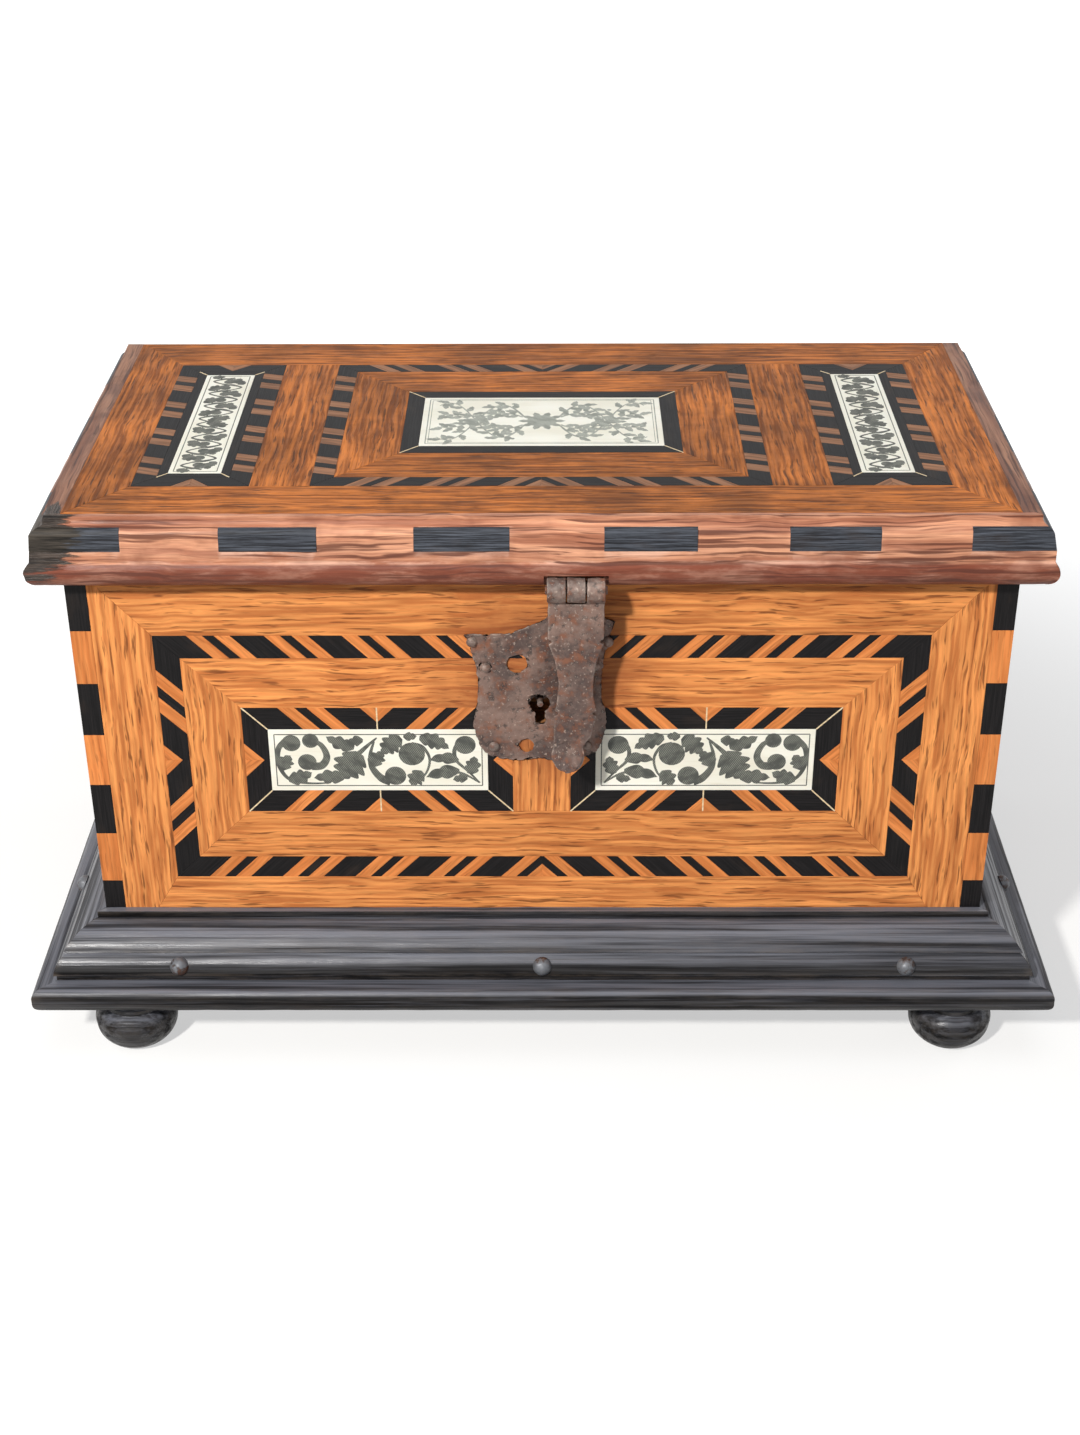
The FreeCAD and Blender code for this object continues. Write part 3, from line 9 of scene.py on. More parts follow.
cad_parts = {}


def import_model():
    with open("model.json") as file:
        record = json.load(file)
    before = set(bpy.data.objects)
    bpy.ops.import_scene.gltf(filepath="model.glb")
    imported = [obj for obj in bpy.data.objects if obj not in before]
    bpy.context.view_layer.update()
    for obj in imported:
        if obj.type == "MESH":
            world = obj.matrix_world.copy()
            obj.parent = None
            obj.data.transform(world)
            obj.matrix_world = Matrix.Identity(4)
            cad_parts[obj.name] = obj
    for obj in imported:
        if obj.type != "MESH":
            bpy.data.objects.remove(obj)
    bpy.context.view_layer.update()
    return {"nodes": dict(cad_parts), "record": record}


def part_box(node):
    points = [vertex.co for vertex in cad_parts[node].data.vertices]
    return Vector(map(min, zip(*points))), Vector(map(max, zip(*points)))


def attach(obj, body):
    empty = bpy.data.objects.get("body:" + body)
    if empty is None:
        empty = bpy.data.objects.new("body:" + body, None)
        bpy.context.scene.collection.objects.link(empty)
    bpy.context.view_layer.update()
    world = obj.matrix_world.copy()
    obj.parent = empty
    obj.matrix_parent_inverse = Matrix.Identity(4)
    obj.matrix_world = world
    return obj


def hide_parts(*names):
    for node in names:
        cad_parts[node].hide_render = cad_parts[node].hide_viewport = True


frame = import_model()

# Looks of the inlaid casket. Metres, in the same frame as the CAD model: -Y is the front, Z is up.

MM = 0.001
X, Y, Z = Vector((1, 0, 0)), Vector((0, 1, 0)), Vector((0, 0, 1))
NODES = frame["nodes"]
RECORD = frame["record"]
BODY_OF = {node: body for body, nodes in RECORD["behaviour"]["bodies"].items() for node in nodes}
SLOT_OF = {part["node"]: part["material_slot"] for part in RECORD["subparts"]}


# Shader building
class Shader:
    """The nodes of a material or of the world, with a few short ways to add and link them."""

    def __init__(self, owner, surface="Principled BSDF"):
        owner.use_nodes = True
        self.owner = owner
        self.tree = owner.node_tree
        self.surface = self.tree.nodes[surface]

    def add(self, kind):
        """A new node of a kind."""
        return self.tree.nodes.new(f"ShaderNode{kind}")

    def feed(self, socket, value):
        """Sets a socket to a value, or links it to another node's output."""
        if isinstance(value, bpy.types.NodeSocket):
            self.tree.links.new(value, socket)
        else:
            socket.default_value = value

    def math(self, operation, *values):
        """An operation on numbers or on other nodes' outputs."""
        made = self.add("Math")
        made.operation = operation
        for socket, value in zip(made.inputs, values):
            self.feed(socket, value)
        return made.outputs[0]

    def attribute(self, name, output="Fac"):
        """A number that each point of the mesh carries, or three of them from the output Vector."""
        made = self.add("Attribute")
        made.attribute_name = name
        return made.outputs[output]

    def grain(self):
        """Each piece's own coordinates, with the grain along the first axis."""
        return self.attribute("grain", "Vector")

    def position(self):
        """Where a point of the surface is at rest, in metres."""
        return self.add("TexCoord").outputs["Object"]

    def away_from(self, point):
        """How far a point of the surface lies from a place, in metres."""
        made = self.add("VectorMath")
        made.operation = "DISTANCE"
        self.feed(made.inputs[0], self.position())
        made.inputs[1].default_value = point
        return made.outputs["Value"]

    def noise(self, vector, *per_mm, detail=3.0, roughness=0.55):
        """Noise with so many cycles per millimetre along each axis of a vector in metres."""
        mapping = self.add("Mapping")
        self.feed(mapping.inputs["Vector"], vector)
        mapping.inputs["Scale"].default_value = [1000 * k for k in per_mm]
        made = self.add("TexNoise")
        self.feed(made.inputs["Vector"], mapping.outputs[0])
        made.inputs["Scale"].default_value = 1.0
        made.inputs["Detail"].default_value = detail
        made.inputs["Roughness"].default_value = roughness
        return made.outputs[0]

    def ramp(self, value, low, high, to_low=0.0, to_high=1.0):
        """A smooth step of a value from one range to another."""
        made = self.add("MapRange")
        made.interpolation_type = "SMOOTHSTEP"
        for socket, number in zip(made.inputs, (value, low, high, to_low, to_high)):
            self.feed(socket, number)
        return made.outputs[0]

    def mix(self, share, first, second, blend="MIX"):
        """A blend of two colours, with a share of the second from 0 to 1."""
        made = self.add("Mix")
        made.data_type = "RGBA"
        made.blend_type = blend
        self.feed(made.inputs[0], share)
        for socket, colour in zip(made.inputs[6:8], (first, second)):
            self.feed(socket, colour if isinstance(colour, bpy.types.NodeSocket) else (*colour, 1.0))
        return made.outputs[2]

    def shade(self, colour, factor):
        """A colour made lighter or darker by a factor."""
        grey = self.add("CombineColor")
        for socket in grey.inputs:
            self.feed(socket, factor)
        return self.mix(1.0, colour, grey.outputs[0], "MULTIPLY")

    def bump(self, height, depth_mm):
        """Fine relief on the surface."""
        made = self.add("Bump")
        made.inputs["Strength"].default_value = 0.6
        made.inputs["Distance"].default_value = depth_mm * MM
        self.feed(made.inputs["Height"], height)
        self.feed(self.surface.inputs["Normal"], made.outputs[0])

    def set(self, **values):
        """Sets the surface's inputs, with _ for each space in their names."""
        for name, value in values.items():
            self.feed(self.surface.inputs[name.replace("_", " ")], value)


def tone(red, green, blue):
    """A linear colour from one picked as screen values."""
    return tuple(((c / 255 + 0.055) / 1.055) ** 2.4 for c in (red, green, blue))


# Woods
def wandering(shader):
    """Grain coordinates that wander a little sideways along the grain."""
    grain = shader.grain()
    drift = shader.noise(grain, 0.03, 0.05, 0.05, detail=2)
    shift = shader.add("CombineXYZ")
    shader.feed(shift.inputs["Y"], shader.math("MULTIPLY", drift, 5 * MM))
    bent = shader.add("VectorMath")
    shader.feed(bent.inputs[0], grain)
    shader.feed(bent.inputs[1], shift.outputs[0])
    return bent.outputs[0]


def stained_near_iron(shader, colour):
    """Darkens wood round the lock, where rust has stained it."""
    low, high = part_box("lock_plate")
    away = shader.away_from([(a + b) / 2 for a, b in zip(low, high)])
    cloud = shader.noise(shader.position(), 0.06, 0.06, 0.06, detail=4)
    reach = shader.math("MULTIPLY_ADD", cloud, 0.04, away)
    return shader.mix(shader.ramp(reach, 0.038, 0.07, 0.6, 0.0), colour, tone(116, 58, 36))


def wood(name, light, mid, dark, pores=0.72, blotch=0.0, roughness=(0.42, 0.6), stain=False):
    """Waxed wood: wavy grain lines, fine fibres and short dark pores along its grain."""
    shader = Shader(bpy.data.materials.new(name))
    bent = wandering(shader)
    line = shader.noise(bent, 0.03, 0.75, 0.75, detail=4, roughness=0.6)
    fibre = shader.noise(bent, 0.06, 1.5, 1.5, roughness=0.6)
    pore = shader.ramp(shader.noise(bent, 0.07, 1.0, 1.0, detail=2), 0.56, 0.68)
    colour = shader.mix(shader.ramp(line, 0.38, 0.62), light, mid)
    colour = shader.mix(shader.math("MULTIPLY", pore, pores), colour, dark)
    bright = shader.ramp(fibre, 0.28, 0.72, 0.74, 1.18)
    bright = shader.math("MULTIPLY", bright, shader.attribute("tint_with_painted_shade"))
    if blotch:
        cloud = shader.noise(shader.position(), 0.03, 0.03, 0.03, detail=5, roughness=0.62)
        bright = shader.math("MULTIPLY", bright, shader.ramp(cloud, 0.36, 0.66, 1.1, 1.1 - blotch))
    colour = shader.shade(colour, bright)
    if stain:
        colour = stained_near_iron(shader, colour)
    shader.set(Base_Color=colour, Roughness=shader.ramp(fibre, 0.3, 0.7, *roughness))
    shader.set(Specular_IOR_Level=0.12)
    shader.bump(shader.math("SUBTRACT", shader.math("MULTIPLY", fibre, 0.6), pore), 0.1)
    return shader.owner


def frayed(shader, colour, colours):
    """Torn, greyed fibres where the torn attribute is high, and how much of them shows."""
    grain = shader.grain()
    ragged = shader.noise(grain, 0.06, 0.45, 0.45, detail=5, roughness=0.7)
    depth = shader.math("MULTIPLY_ADD", ragged, 0.9, shader.attribute("torn"))
    bare = shader.ramp(depth, 0.78, 0.9)
    fray = shader.ramp(shader.noise(grain, 0.05, 0.9, 0.9, detail=4, roughness=0.65), 0.3, 0.7)
    return shader.mix(bare, colour, shader.mix(fray, *colours)), shader.math("MULTIPLY", bare, fray)


def ebony(name, dark, light):
    """Near-black wood with a faint brown grain."""
    shader = Shader(bpy.data.materials.new(name))
    grain = shader.grain()
    fibre = shader.noise(grain, 0.06, 2.0, 2.0, detail=4, roughness=0.7)
    cloud = shader.noise(grain, 0.05, 0.12, 0.12)
    colour = shader.mix(shader.ramp(fibre, 0.35, 0.75), dark, light)
    colour = shader.mix(shader.ramp(cloud, 0.55, 0.8, 0.0, 0.4), colour, tone(58, 48, 42))
    colour, torn = frayed(shader, colour, (tone(20, 19, 18), tone(74, 68, 62)))
    shader.set(Base_Color=colour, Roughness=shader.ramp(fibre, 0.3, 0.7, 0.36, 0.52))
    shader.set(Specular_IOR_Level=0.1)
    shader.bump(shader.math("ADD", fibre, torn), 0.1)
    return shader.owner


def ebonised(name):
    """Blackened wood with a streaky polish along its grain, browner where the black has worn off, and a
    painted bluish sheen on its upward faces.
    """
    shader = Shader(bpy.data.materials.new(name))
    grain = shader.grain()
    fibre = shader.noise(grain, 0.014, 0.9, 0.9, detail=5, roughness=0.7)
    streak = shader.noise(grain, 0.006, 0.35, 0.35, detail=4, roughness=0.6)
    scuff = shader.noise(grain, 0.06, 0.3, 0.3, detail=5, roughness=0.7)
    colour = shader.mix(shader.ramp(streak, 0.36, 0.64), tone(12, 11, 12), tone(34, 33, 35))
    colour = shader.mix(shader.ramp(fibre, 0.46, 0.66, 0.0, 0.35), colour, tone(84, 85, 92))
    # Painted sheen: faces that look upward are lightened to a bluish grey, in patches along the
    # streaks, standing in for light reflected from above.
    rise = shader.add("SeparateXYZ")
    shader.feed(rise.inputs[0], shader.add("TexCoord").outputs["Normal"])
    patchy = shader.ramp(streak, 0.36, 0.62, 0.1, 0.75)
    upward_painted_sheen = shader.math("MULTIPLY", shader.ramp(rise.outputs["Z"], 0.35, 0.85), patchy)
    colour = shader.mix(upward_painted_sheen, colour, tone(112, 115, 126))
    rub = shader.math("MULTIPLY", shader.attribute("wear"), shader.ramp(scuff, 0.4, 0.62))
    colour = shader.mix(shader.math("MULTIPLY", rub, 0.8), colour, tone(142, 128, 116))
    shader.set(Base_Color=colour, Roughness=shader.ramp(streak, 0.35, 0.65, 0.56, 0.26))
    shader.set(Specular_IOR_Level=shader.ramp(streak, 0.35, 0.65, 0.08, 0.4))
    shader.bump(shader.math("ADD", fibre, shader.math("MULTIPLY", scuff, 0.4)), 0.22)
    return shader.owner


def rosewood(name):
    """The lid's moulding: reddish wood with dark streaks, pale where it is rubbed, with a painted
    highlight along the top of its round and painted shade over the round below.
    """
    shader = Shader(bpy.data.materials.new(name))
    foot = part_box("lid_moulding_front")[0][2]
    round_top = 9.6 * MM
    bent = wandering(shader)
    fibre = shader.noise(bent, 0.04, 1.4, 1.4, detail=4, roughness=0.7)
    figure = shader.noise(bent, 0.012, 0.3, 0.3, detail=4, roughness=0.6)
    streak = shader.noise(bent, 0.016, 0.7, 0.7)
    scuff = shader.noise(bent, 0.05, 0.2, 0.2, detail=5, roughness=0.65)
    colour = shader.mix(shader.ramp(figure, 0.36, 0.62), tone(208, 150, 118), tone(156, 100, 76))
    place = shader.add("SeparateXYZ")
    shader.feed(place.inputs[0], shader.position())
    height = shader.math("SUBTRACT", place.outputs["Z"], foot)
    # Painted highlight: the pale rubbed colour is laid along the top of the round and fades out 1.2 mm
    # above it; lower down the painted shade covers it. Elsewhere the same colour marks real wear on the
    # edges.
    ridge = shader.ramp(height, round_top + 0.2 * MM, round_top + 1.2 * MM, 0.6, 0.0)
    rub = shader.math("MAXIMUM", ridge, shader.attribute("wear"))
    rub = shader.math("MULTIPLY", rub, shader.ramp(scuff, 0.36, 0.6))
    colour = shader.mix(rub, colour, tone(224, 182, 162))
    cloud = shader.noise(shader.position(), 0.035, 0.035, 0.035, detail=4, roughness=0.6)
    colour = shader.mix(shader.ramp(cloud, 0.5, 0.68, 0.0, 0.6), colour, tone(120, 70, 52))
    # Painted shade: the round below its top is darkened to a deep red-brown, a little less where it is
    # scuffed.
    below = shader.ramp(height, round_top - MM, round_top, 1.0, 0.0)
    painted_shade_on_round = shader.math("MULTIPLY", below, shader.ramp(scuff, 0.4, 0.7, 1.0, 0.7))
    colour = shader.mix(painted_shade_on_round, colour, tone(112, 60, 44))
    colour = shader.mix(shader.ramp(streak, 0.5, 0.64, 0.0, 0.85), colour, tone(84, 46, 36))
    # The pieces' colour factor carries the painted shade of the end mouldings.
    bright = shader.ramp(fibre, 0.25, 0.75, 0.8, 1.2)
    colour = shader.shade(colour, shader.math("MULTIPLY", bright, shader.attribute("tint_with_painted_shade")))
    colour, torn = frayed(shader, colour, (tone(24, 21, 20), tone(82, 72, 66)))
    shader.set(Base_Color=colour, Roughness=shader.ramp(scuff, 0.3, 0.7, 0.32, 0.5))
    shader.set(Specular_IOR_Level=0.2)
    shader.bump(shader.math("ADD", fibre, shader.math("MULTIPLY", torn, 4.0)), 0.2)
    return shader.owner


# Bone and iron
def bone(name):
    """Polished bone: cream, cloudy, with fine brown hairlines along its length."""
    shader = Shader(bpy.data.materials.new(name))
    grain = shader.grain()
    cloud = shader.noise(grain, 0.03, 0.08, 0.08, detail=4)
    hair = shader.noise(grain, 0.05, 1.8, 1.8)
    colour = shader.mix(shader.ramp(cloud, 0.3, 0.7), tone(238, 237, 227), tone(226, 223, 209))
    colour = shader.mix(shader.ramp(hair, 0.6, 0.76, 0.0, 0.35), colour, tone(190, 174, 138))
    shader.set(Base_Color=colour, Roughness=shader.ramp(cloud, 0.3, 0.7, 0.34, 0.46))
    shader.set(Subsurface_Weight=0.08, Subsurface_Radius=(0.002, 0.0012, 0.0008))
    shader.bump(hair, 0.03)
    return shader.owner


def engraving(name, light, dark):
    """Black rubbed into engraved shapes, with the fine hatching of the graver in it."""
    shader = Shader(bpy.data.materials.new(name))
    grain = shader.grain()
    along = shader.add("SeparateXYZ")
    shader.feed(along.inputs[0], grain)
    ripple = shader.math("MULTIPLY", shader.noise(grain, 0.2, 0.2, 0.2, detail=2), 5.0)
    hatch_pitch = 0.7 * MM
    wave = shader.math("MULTIPLY_ADD", along.outputs["X"], math.tau / hatch_pitch, ripple)
    hatch = shader.ramp(shader.math("SINE", wave), 0.1, 0.9)
    patch = shader.ramp(shader.noise(grain, 0.2, 0.2, 0.2), 0.35, 0.6)
    shader.set(Base_Color=shader.mix(shader.math("MULTIPLY", hatch, patch), dark, light), Roughness=0.6)
    return shader.owner


WARM_METAL = tone(180, 168, 158)


def iron(name, bare, shade=1.0, metal=WARM_METAL):
    """Forged iron, rusted brown and pitted, with brighter metal where it has been handled."""
    shader = Shader(bpy.data.materials.new(name))
    place = shader.position()
    cloud = shader.noise(place, 0.07, 0.07, 0.07, detail=5, roughness=0.65)
    rust = shader.noise(place, 0.2, 0.2, 0.2, detail=6, roughness=0.7)
    pit = shader.noise(place, 0.45, 0.45, 0.45, detail=4, roughness=0.65)
    grit = shader.noise(place, 0.9, 0.9, 0.9, roughness=0.6)
    colour = shader.mix(shader.ramp(cloud, 0.36, 0.64), tone(64, 46, 42), tone(122, 97, 87))
    colour = shader.mix(shader.ramp(rust, 0.5, 0.66, 0.0, 0.8), colour, tone(122, 76, 54))
    colour = shader.mix(shader.ramp(pit, 0.53, 0.64, 0.0, 0.85), colour, tone(42, 31, 29))
    colour = shader.mix(shader.ramp(grit, 0.58, 0.7, 0.0, 0.7), colour, tone(170, 150, 138))
    shine = shader.math("ADD", shader.attribute("wear"), bare)
    shine = shader.math("MULTIPLY", shine, shader.ramp(rust, 0.6, 0.4))
    colour = shader.mix(shader.math("MINIMUM", shine, 0.8), colour, metal)
    shader.set(Base_Color=shader.shade(colour, shade), Metallic=shader.ramp(shine, 0.0, 1.0, 0.15, 0.4))
    shader.set(Roughness=shader.ramp(rust, 0.3, 0.7, 0.44, 0.7))
    shader.bump(shader.math("SUBTRACT", shader.math("MULTIPLY", grit, 0.6), pit), 1.6)
    return shader.owner


MATERIALS = {
    "oak_veneer": wood(
        "oak_veneer", tone(242, 160, 92), tone(184, 110, 60), tone(100, 54, 30), stain=True
    ),
    "lid_veneer": wood(
        "lid_veneer", tone(203, 122, 60), tone(130, 74, 37), tone(62, 36, 22), blotch=0.55
    ),
    "fruitwood": wood(
        "fruitwood", tone(226, 142, 80), tone(196, 116, 62), tone(140, 78, 44), pores=0.4
    ),
    "carcase_wood": wood(
        "carcase_wood", tone(172, 122, 80), tone(138, 94, 60), tone(88, 58, 36), roughness=(0.55, 0.75)
    ),
    "ebony": ebony("ebony", tone(16, 15, 16), tone(34, 32, 33)),
    "rosewood": rosewood("rosewood"),
    "ebonised_wood": ebonised("ebonised_wood"),
    "bone": bone("bone"),
    "iron": iron("iron", bare=0.05),
}
LID_STRIPES = wood("lid_stripes", tone(158, 114, 86), tone(120, 86, 66), tone(84, 58, 44), pores=0.4)
# Ebony for the moulding's blocks: greyed by wear, and lightened to a bluish grey as a painted sheen.
WORN_EBONY_PAINTED_SHEEN = ebony("worn_ebony_painted_sheen", tone(34, 35, 39), tone(88, 93, 103))
HANDLED_IRON = iron("handled_iron", bare=0.3)
NAIL_IRON = iron("nail_iron", bare=2.0, shade=0.34, metal=tone(178, 184, 194))
INK = engraving("engraving", tone(138, 140, 130), tone(62, 64, 60))
FINE_INK = engraving("fine_engraving", tone(196, 199, 190), tone(132, 136, 129))
GLUE = wood("glue", tone(232, 214, 180), tone(214, 192, 154), tone(170, 140, 104), pores=0.3)


# Meshes taken from the CAD nodes. Points nearer than WELD, in metres, are one.
WELD = 1e-7
EASE_MM = 0.22
INLAY_EASE_MM = 0.15
MOULDING_EASE_MM = 0.35


def solids(node):
    """Each solid of a CAD node as a mesh. A solid is complete when its run of faces closes."""
    data = NODES[node].data
    faces, waiting = [], set()
    for polygon in data.polygons:
        corners = [tuple(round(c, 7) for c in data.vertices[i].co) for i in polygon.vertices]
        if len(set(corners)) < len(corners):
            continue
        faces.append(corners)
        for edge in zip(corners, corners[1:] + corners[:1]):
            if edge[::-1] in waiting:
                waiting.remove(edge[::-1])
            else:
                waiting.add(edge)
        if not waiting:
            yield joined(faces)
            faces = []


def joined(faces):
    """One solid from its faces' corners, with its flat faces whole."""
    mesh = bmesh.new()
    verts = {}
    for corners in faces:
        for corner in corners:
            if corner not in verts:
                verts[corner] = mesh.verts.new(corner)
        mesh.faces.new([verts[corner] for corner in corners])
    mesh.normal_update()
    bmesh.ops.dissolve_limit(mesh, angle_limit=math.radians(0.2), verts=mesh.verts, edges=mesh.edges)
    return mesh


def ease_edges(mesh, width_mm):
    """Takes the sharpness off a solid's edges."""
    limit = math.radians(28)
    sharp = [e for e in mesh.edges if len(e.link_faces) == 2 and e.calc_face_angle(0) > limit]
    bmesh.ops.bevel(
        mesh,
        geom=sharp,
        offset=width_mm * MM,
        offset_type="OFFSET",
        segments=2,
        profile=0.6,
        affect="EDGES",
        clamp_overlap=True,
    )


def longest_way(mesh):
    """The way that a solid's longest edge runs."""
    longest = max(mesh.edges, key=lambda e: e.calc_length())
    return (longest.verts[1].co - longest.verts[0].co).normalized()


def write_grain(mesh, along, chance, shade=1.0):
    """Gives a solid its own grain coordinates, and a colour factor near a shade; a shade below 1
    darkens the piece as painted shade.
    """
    grain = mesh.verts.layers.float_vector.new("grain")
    tint_with_painted_shade = mesh.verts.layers.float.new("tint_with_painted_shade")
    across = along.orthogonal().normalized()
    axes = (along, across, along.cross(across))
    start = Vector([chance.uniform(-1, 1) for _ in range(3)])
    shade *= chance.uniform(0.9, 1.06)
    for vert in mesh.verts:
        vert[grain] = start + Vector([vert.co.dot(axis) for axis in axes])
        vert[tint_with_painted_shade] = shade


def show(mesh, name, node, material, smooth=False):
    """Puts a finished mesh in the scene. A smooth one is shaded by its larger faces."""
    normals = [sum((f.normal * f.calc_area() for f in v.link_faces), Vector()) for v in mesh.verts]
    data = bpy.data.meshes.new(name)
    mesh.to_mesh(data)
    mesh.free()
    data.materials.append(material)
    if smooth:
        data.shade_smooth()
        data.normals_split_custom_set_from_vertices([n.normalized() for n in normals])
    thing = bpy.data.objects.new(name, data)
    bpy.context.scene.collection.objects.link(thing)
    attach(thing, BODY_OF[node])
    return thing


def gather(pieces):
    """Several meshes as one."""
    whole = bmesh.new()
    for piece in pieces:
        data = bpy.data.meshes.new("piece")
        piece.to_mesh(data)
        piece.free()
        whole.from_mesh(data)
        bpy.data.meshes.remove(data)
    return whole


def dress(node, material=None, ease_mm=EASE_MM, corner=None):
    """Shows a CAD node as cut wood or bone: eased edges, and a grain of its own for each piece."""
    chance = random.Random(node)
    pieces = []
    for mesh in solids(node):
        along = longest_way(mesh)
        ease_edges(mesh, ease_mm)
        write_grain(mesh, along, chance)
        if corner is not None:
            tear(mesh, corner)
        pieces.append(mesh)
    thing = show(gather(pieces), f"{node}_dressed", node, material or MATERIALS[SLOT_OF[node]])
    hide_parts(node)


# Mouldings, plinth and feet: sliced along their run so that wear and hand-planing show in the shape
def sliced(mesh, axis, step_mm):
    """Cuts a mesh across an axis at regular steps."""
    places = [v.co.dot(axis) for v in mesh.verts]
    low, high = min(places), max(places)
    count = int((high - low) / (step_mm * MM))
    for i in range(1, count):
        at = axis * (low + (high - low) * i / count)
        geometry = [*mesh.verts, *mesh.edges, *mesh.faces]
        bmesh.ops.bisect_plane(mesh, geom=geometry, dist=WELD, plane_co=at, plane_no=axis)


def write_wear(mesh):
    """Marks how much each vertex stands out from its neighbours, which is where hands rub."""
    wear = mesh.verts.layers.float.new("wear")
    mesh.normal_update()
    for vert in mesh.verts:
        bend = 0.0
        for edge in vert.link_edges:
            away = edge.other_vert(vert).co - vert.co
            if away.length > WELD:
                bend -= vert.normal.dot(away.normalized()) / len(vert.link_edges)
        vert[wear] = min(1.0, max(0.0, 2 * bend))


def uneven(point, span_mm):
    """Smooth noise that changes over a span."""
    return noise.noise(point / (span_mm * MM))


def hand_worked(mesh, depth_mm):
    """Small uneven dips, as a hand plane and handling leave them."""
    mesh.normal_update()
    for vert in mesh.verts:
        level = 0.7 * uneven(vert.co, 14) + 0.3 * uneven(vert.co, 5)
        vert.co += vert.normal * (depth_mm * MM * min(0.0, level - 0.1))


def tear(mesh, corner, reach_mm=30, bite_mm=2.4):
    """Breaks a corner of the lid away unevenly, towards a place low in the lid's middle."""
    torn = mesh.verts.layers.float.new("torn")
    heart = Vector((0, 0, corner.z - 12 * MM))
    for vert in mesh.verts:
        amount = max(0.0, 1.0 - (vert.co - corner).length / (reach_mm * MM))
        vert[torn] = amount
        bite = amount**1.5 * max(0.0, 0.6 + uneven(vert.co, 3))
        vert.co += (heart - vert.co).normalized() * (bite_mm * MM * bite)


def moulded(node, along, step_mm, depth_mm, corner=None, shade=1.0):
    """Shows a CAD node as a planed or turned length of wood."""
    chance = random.Random(node)
    pieces = []
    for mesh in solids(node):
        ease_edges(mesh, MOULDING_EASE_MM)
        write_grain(mesh, along, chance, shade)
        sliced(mesh, along, step_mm)
        write_wear(mesh)
        hand_worked(mesh, depth_mm)
        if corner is not None:
            tear(mesh, corner)
        pieces.append(mesh)
    thing = show(gather(pieces), f"{node}_dressed", node, MATERIALS[SLOT_OF[node]], smooth=True)
    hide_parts(node)


def cut_mitres(mesh, half):
    """Cuts a board's faces along the mitres from its four corners."""
    for way_x in (-1, 1):
        for way_y in (-1, 1):
            corner = Vector((way_x * half.x, way_y * half.y, 0))
            geometry = [*mesh.verts, *mesh.edges, *mesh.faces]
            out = Vector((way_x, -way_y, 0))
            bmesh.ops.bisect_plane(mesh, geom=geometry, dist=WELD, plane_co=corner, plane_no=out)


def plinth(node):
    """Shows the plinth board, with its grain along each of its four sides."""
    mesh = gather(solids(node))
    ease_edges(mesh, MOULDING_EASE_MM)
    half = Vector((max(v.co.x for v in mesh.verts), max(v.co.y for v in mesh.verts), 0))
    cut_mitres(mesh, half)
    for axis in (X, Y):
        sliced(mesh, axis, step_mm=5)
    write_wear(mesh)
    hand_worked(mesh, depth_mm=0.3)
    grain = mesh.loops.layers.float_vector.new("grain")
    for face in mesh.faces:
        middle = face.calc_center_median()
        at_end = half.x - abs(middle.x) < half.y - abs(middle.y)
        for loop in face.loops:
            x, y, z = loop.vert.co
            loop[grain] = (y, x, z) if at_end else (x, y, z)
    thing = show(mesh, f"{node}_dressed", node, MATERIALS[SLOT_OF[node]], smooth=True)
    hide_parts(node)


moulding_low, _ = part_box("lid_moulding_front")
_, block_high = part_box("lid_moulding_blocks")
TORN_CORNER = Vector((moulding_low[0], moulding_low[1], block_high[2]))
for node in NODES:
    if SLOT_OF[node] in ("oak_veneer", "lid_veneer", "carcase_wood", "bone"):
        dress(node)
    elif node == "lid_moulding_blocks":
        dress(node, WORN_EBONY_PAINTED_SHEEN, INLAY_EASE_MM, TORN_CORNER)
    elif SLOT_OF[node] in ("fruitwood", "ebony"):
        dress(node, LID_STRIPES if node == "lid_band_wood" else None, INLAY_EASE_MM)
moulded("lid_moulding_front", X, step_mm=2, depth_mm=0.3, corner=TORN_CORNER)
# The end mouldings get painted shade: their colour factor is 0.45 and 0.5 of the front's.
moulded("lid_moulding_left", Y, step_mm=2, depth_mm=0.3, corner=TORN_CORNER, shade=0.45)
moulded("lid_moulding_right", Y, step_mm=3, depth_mm=0.3, shade=0.5)
for side, along in (("front", X), ("back", X), ("left", Y), ("right", Y)):
    moulded(f"base_moulding_{side}", along, step_mm=4, depth_mm=0.35)
plinth("plinth_board")
for node in NODES:
    if node.startswith("foot_"):
        moulded(node, X, step_mm=6, depth_mm=0.2)


# Engraved bone
def on_curve(points, t):
    """A place between the second and third of four points, on a smooth curve through them."""
    pulls = (
        -t + 2 * t * t - t**3,
        2 - 5 * t * t + 3 * t**3,
        t + 4 * t * t - 3 * t**3,
        t**3 - t * t,
    )
    return Vector([sum(k * p[axis] for k, p in zip(pulls, points)) / 2 for axis in (0, 1)])


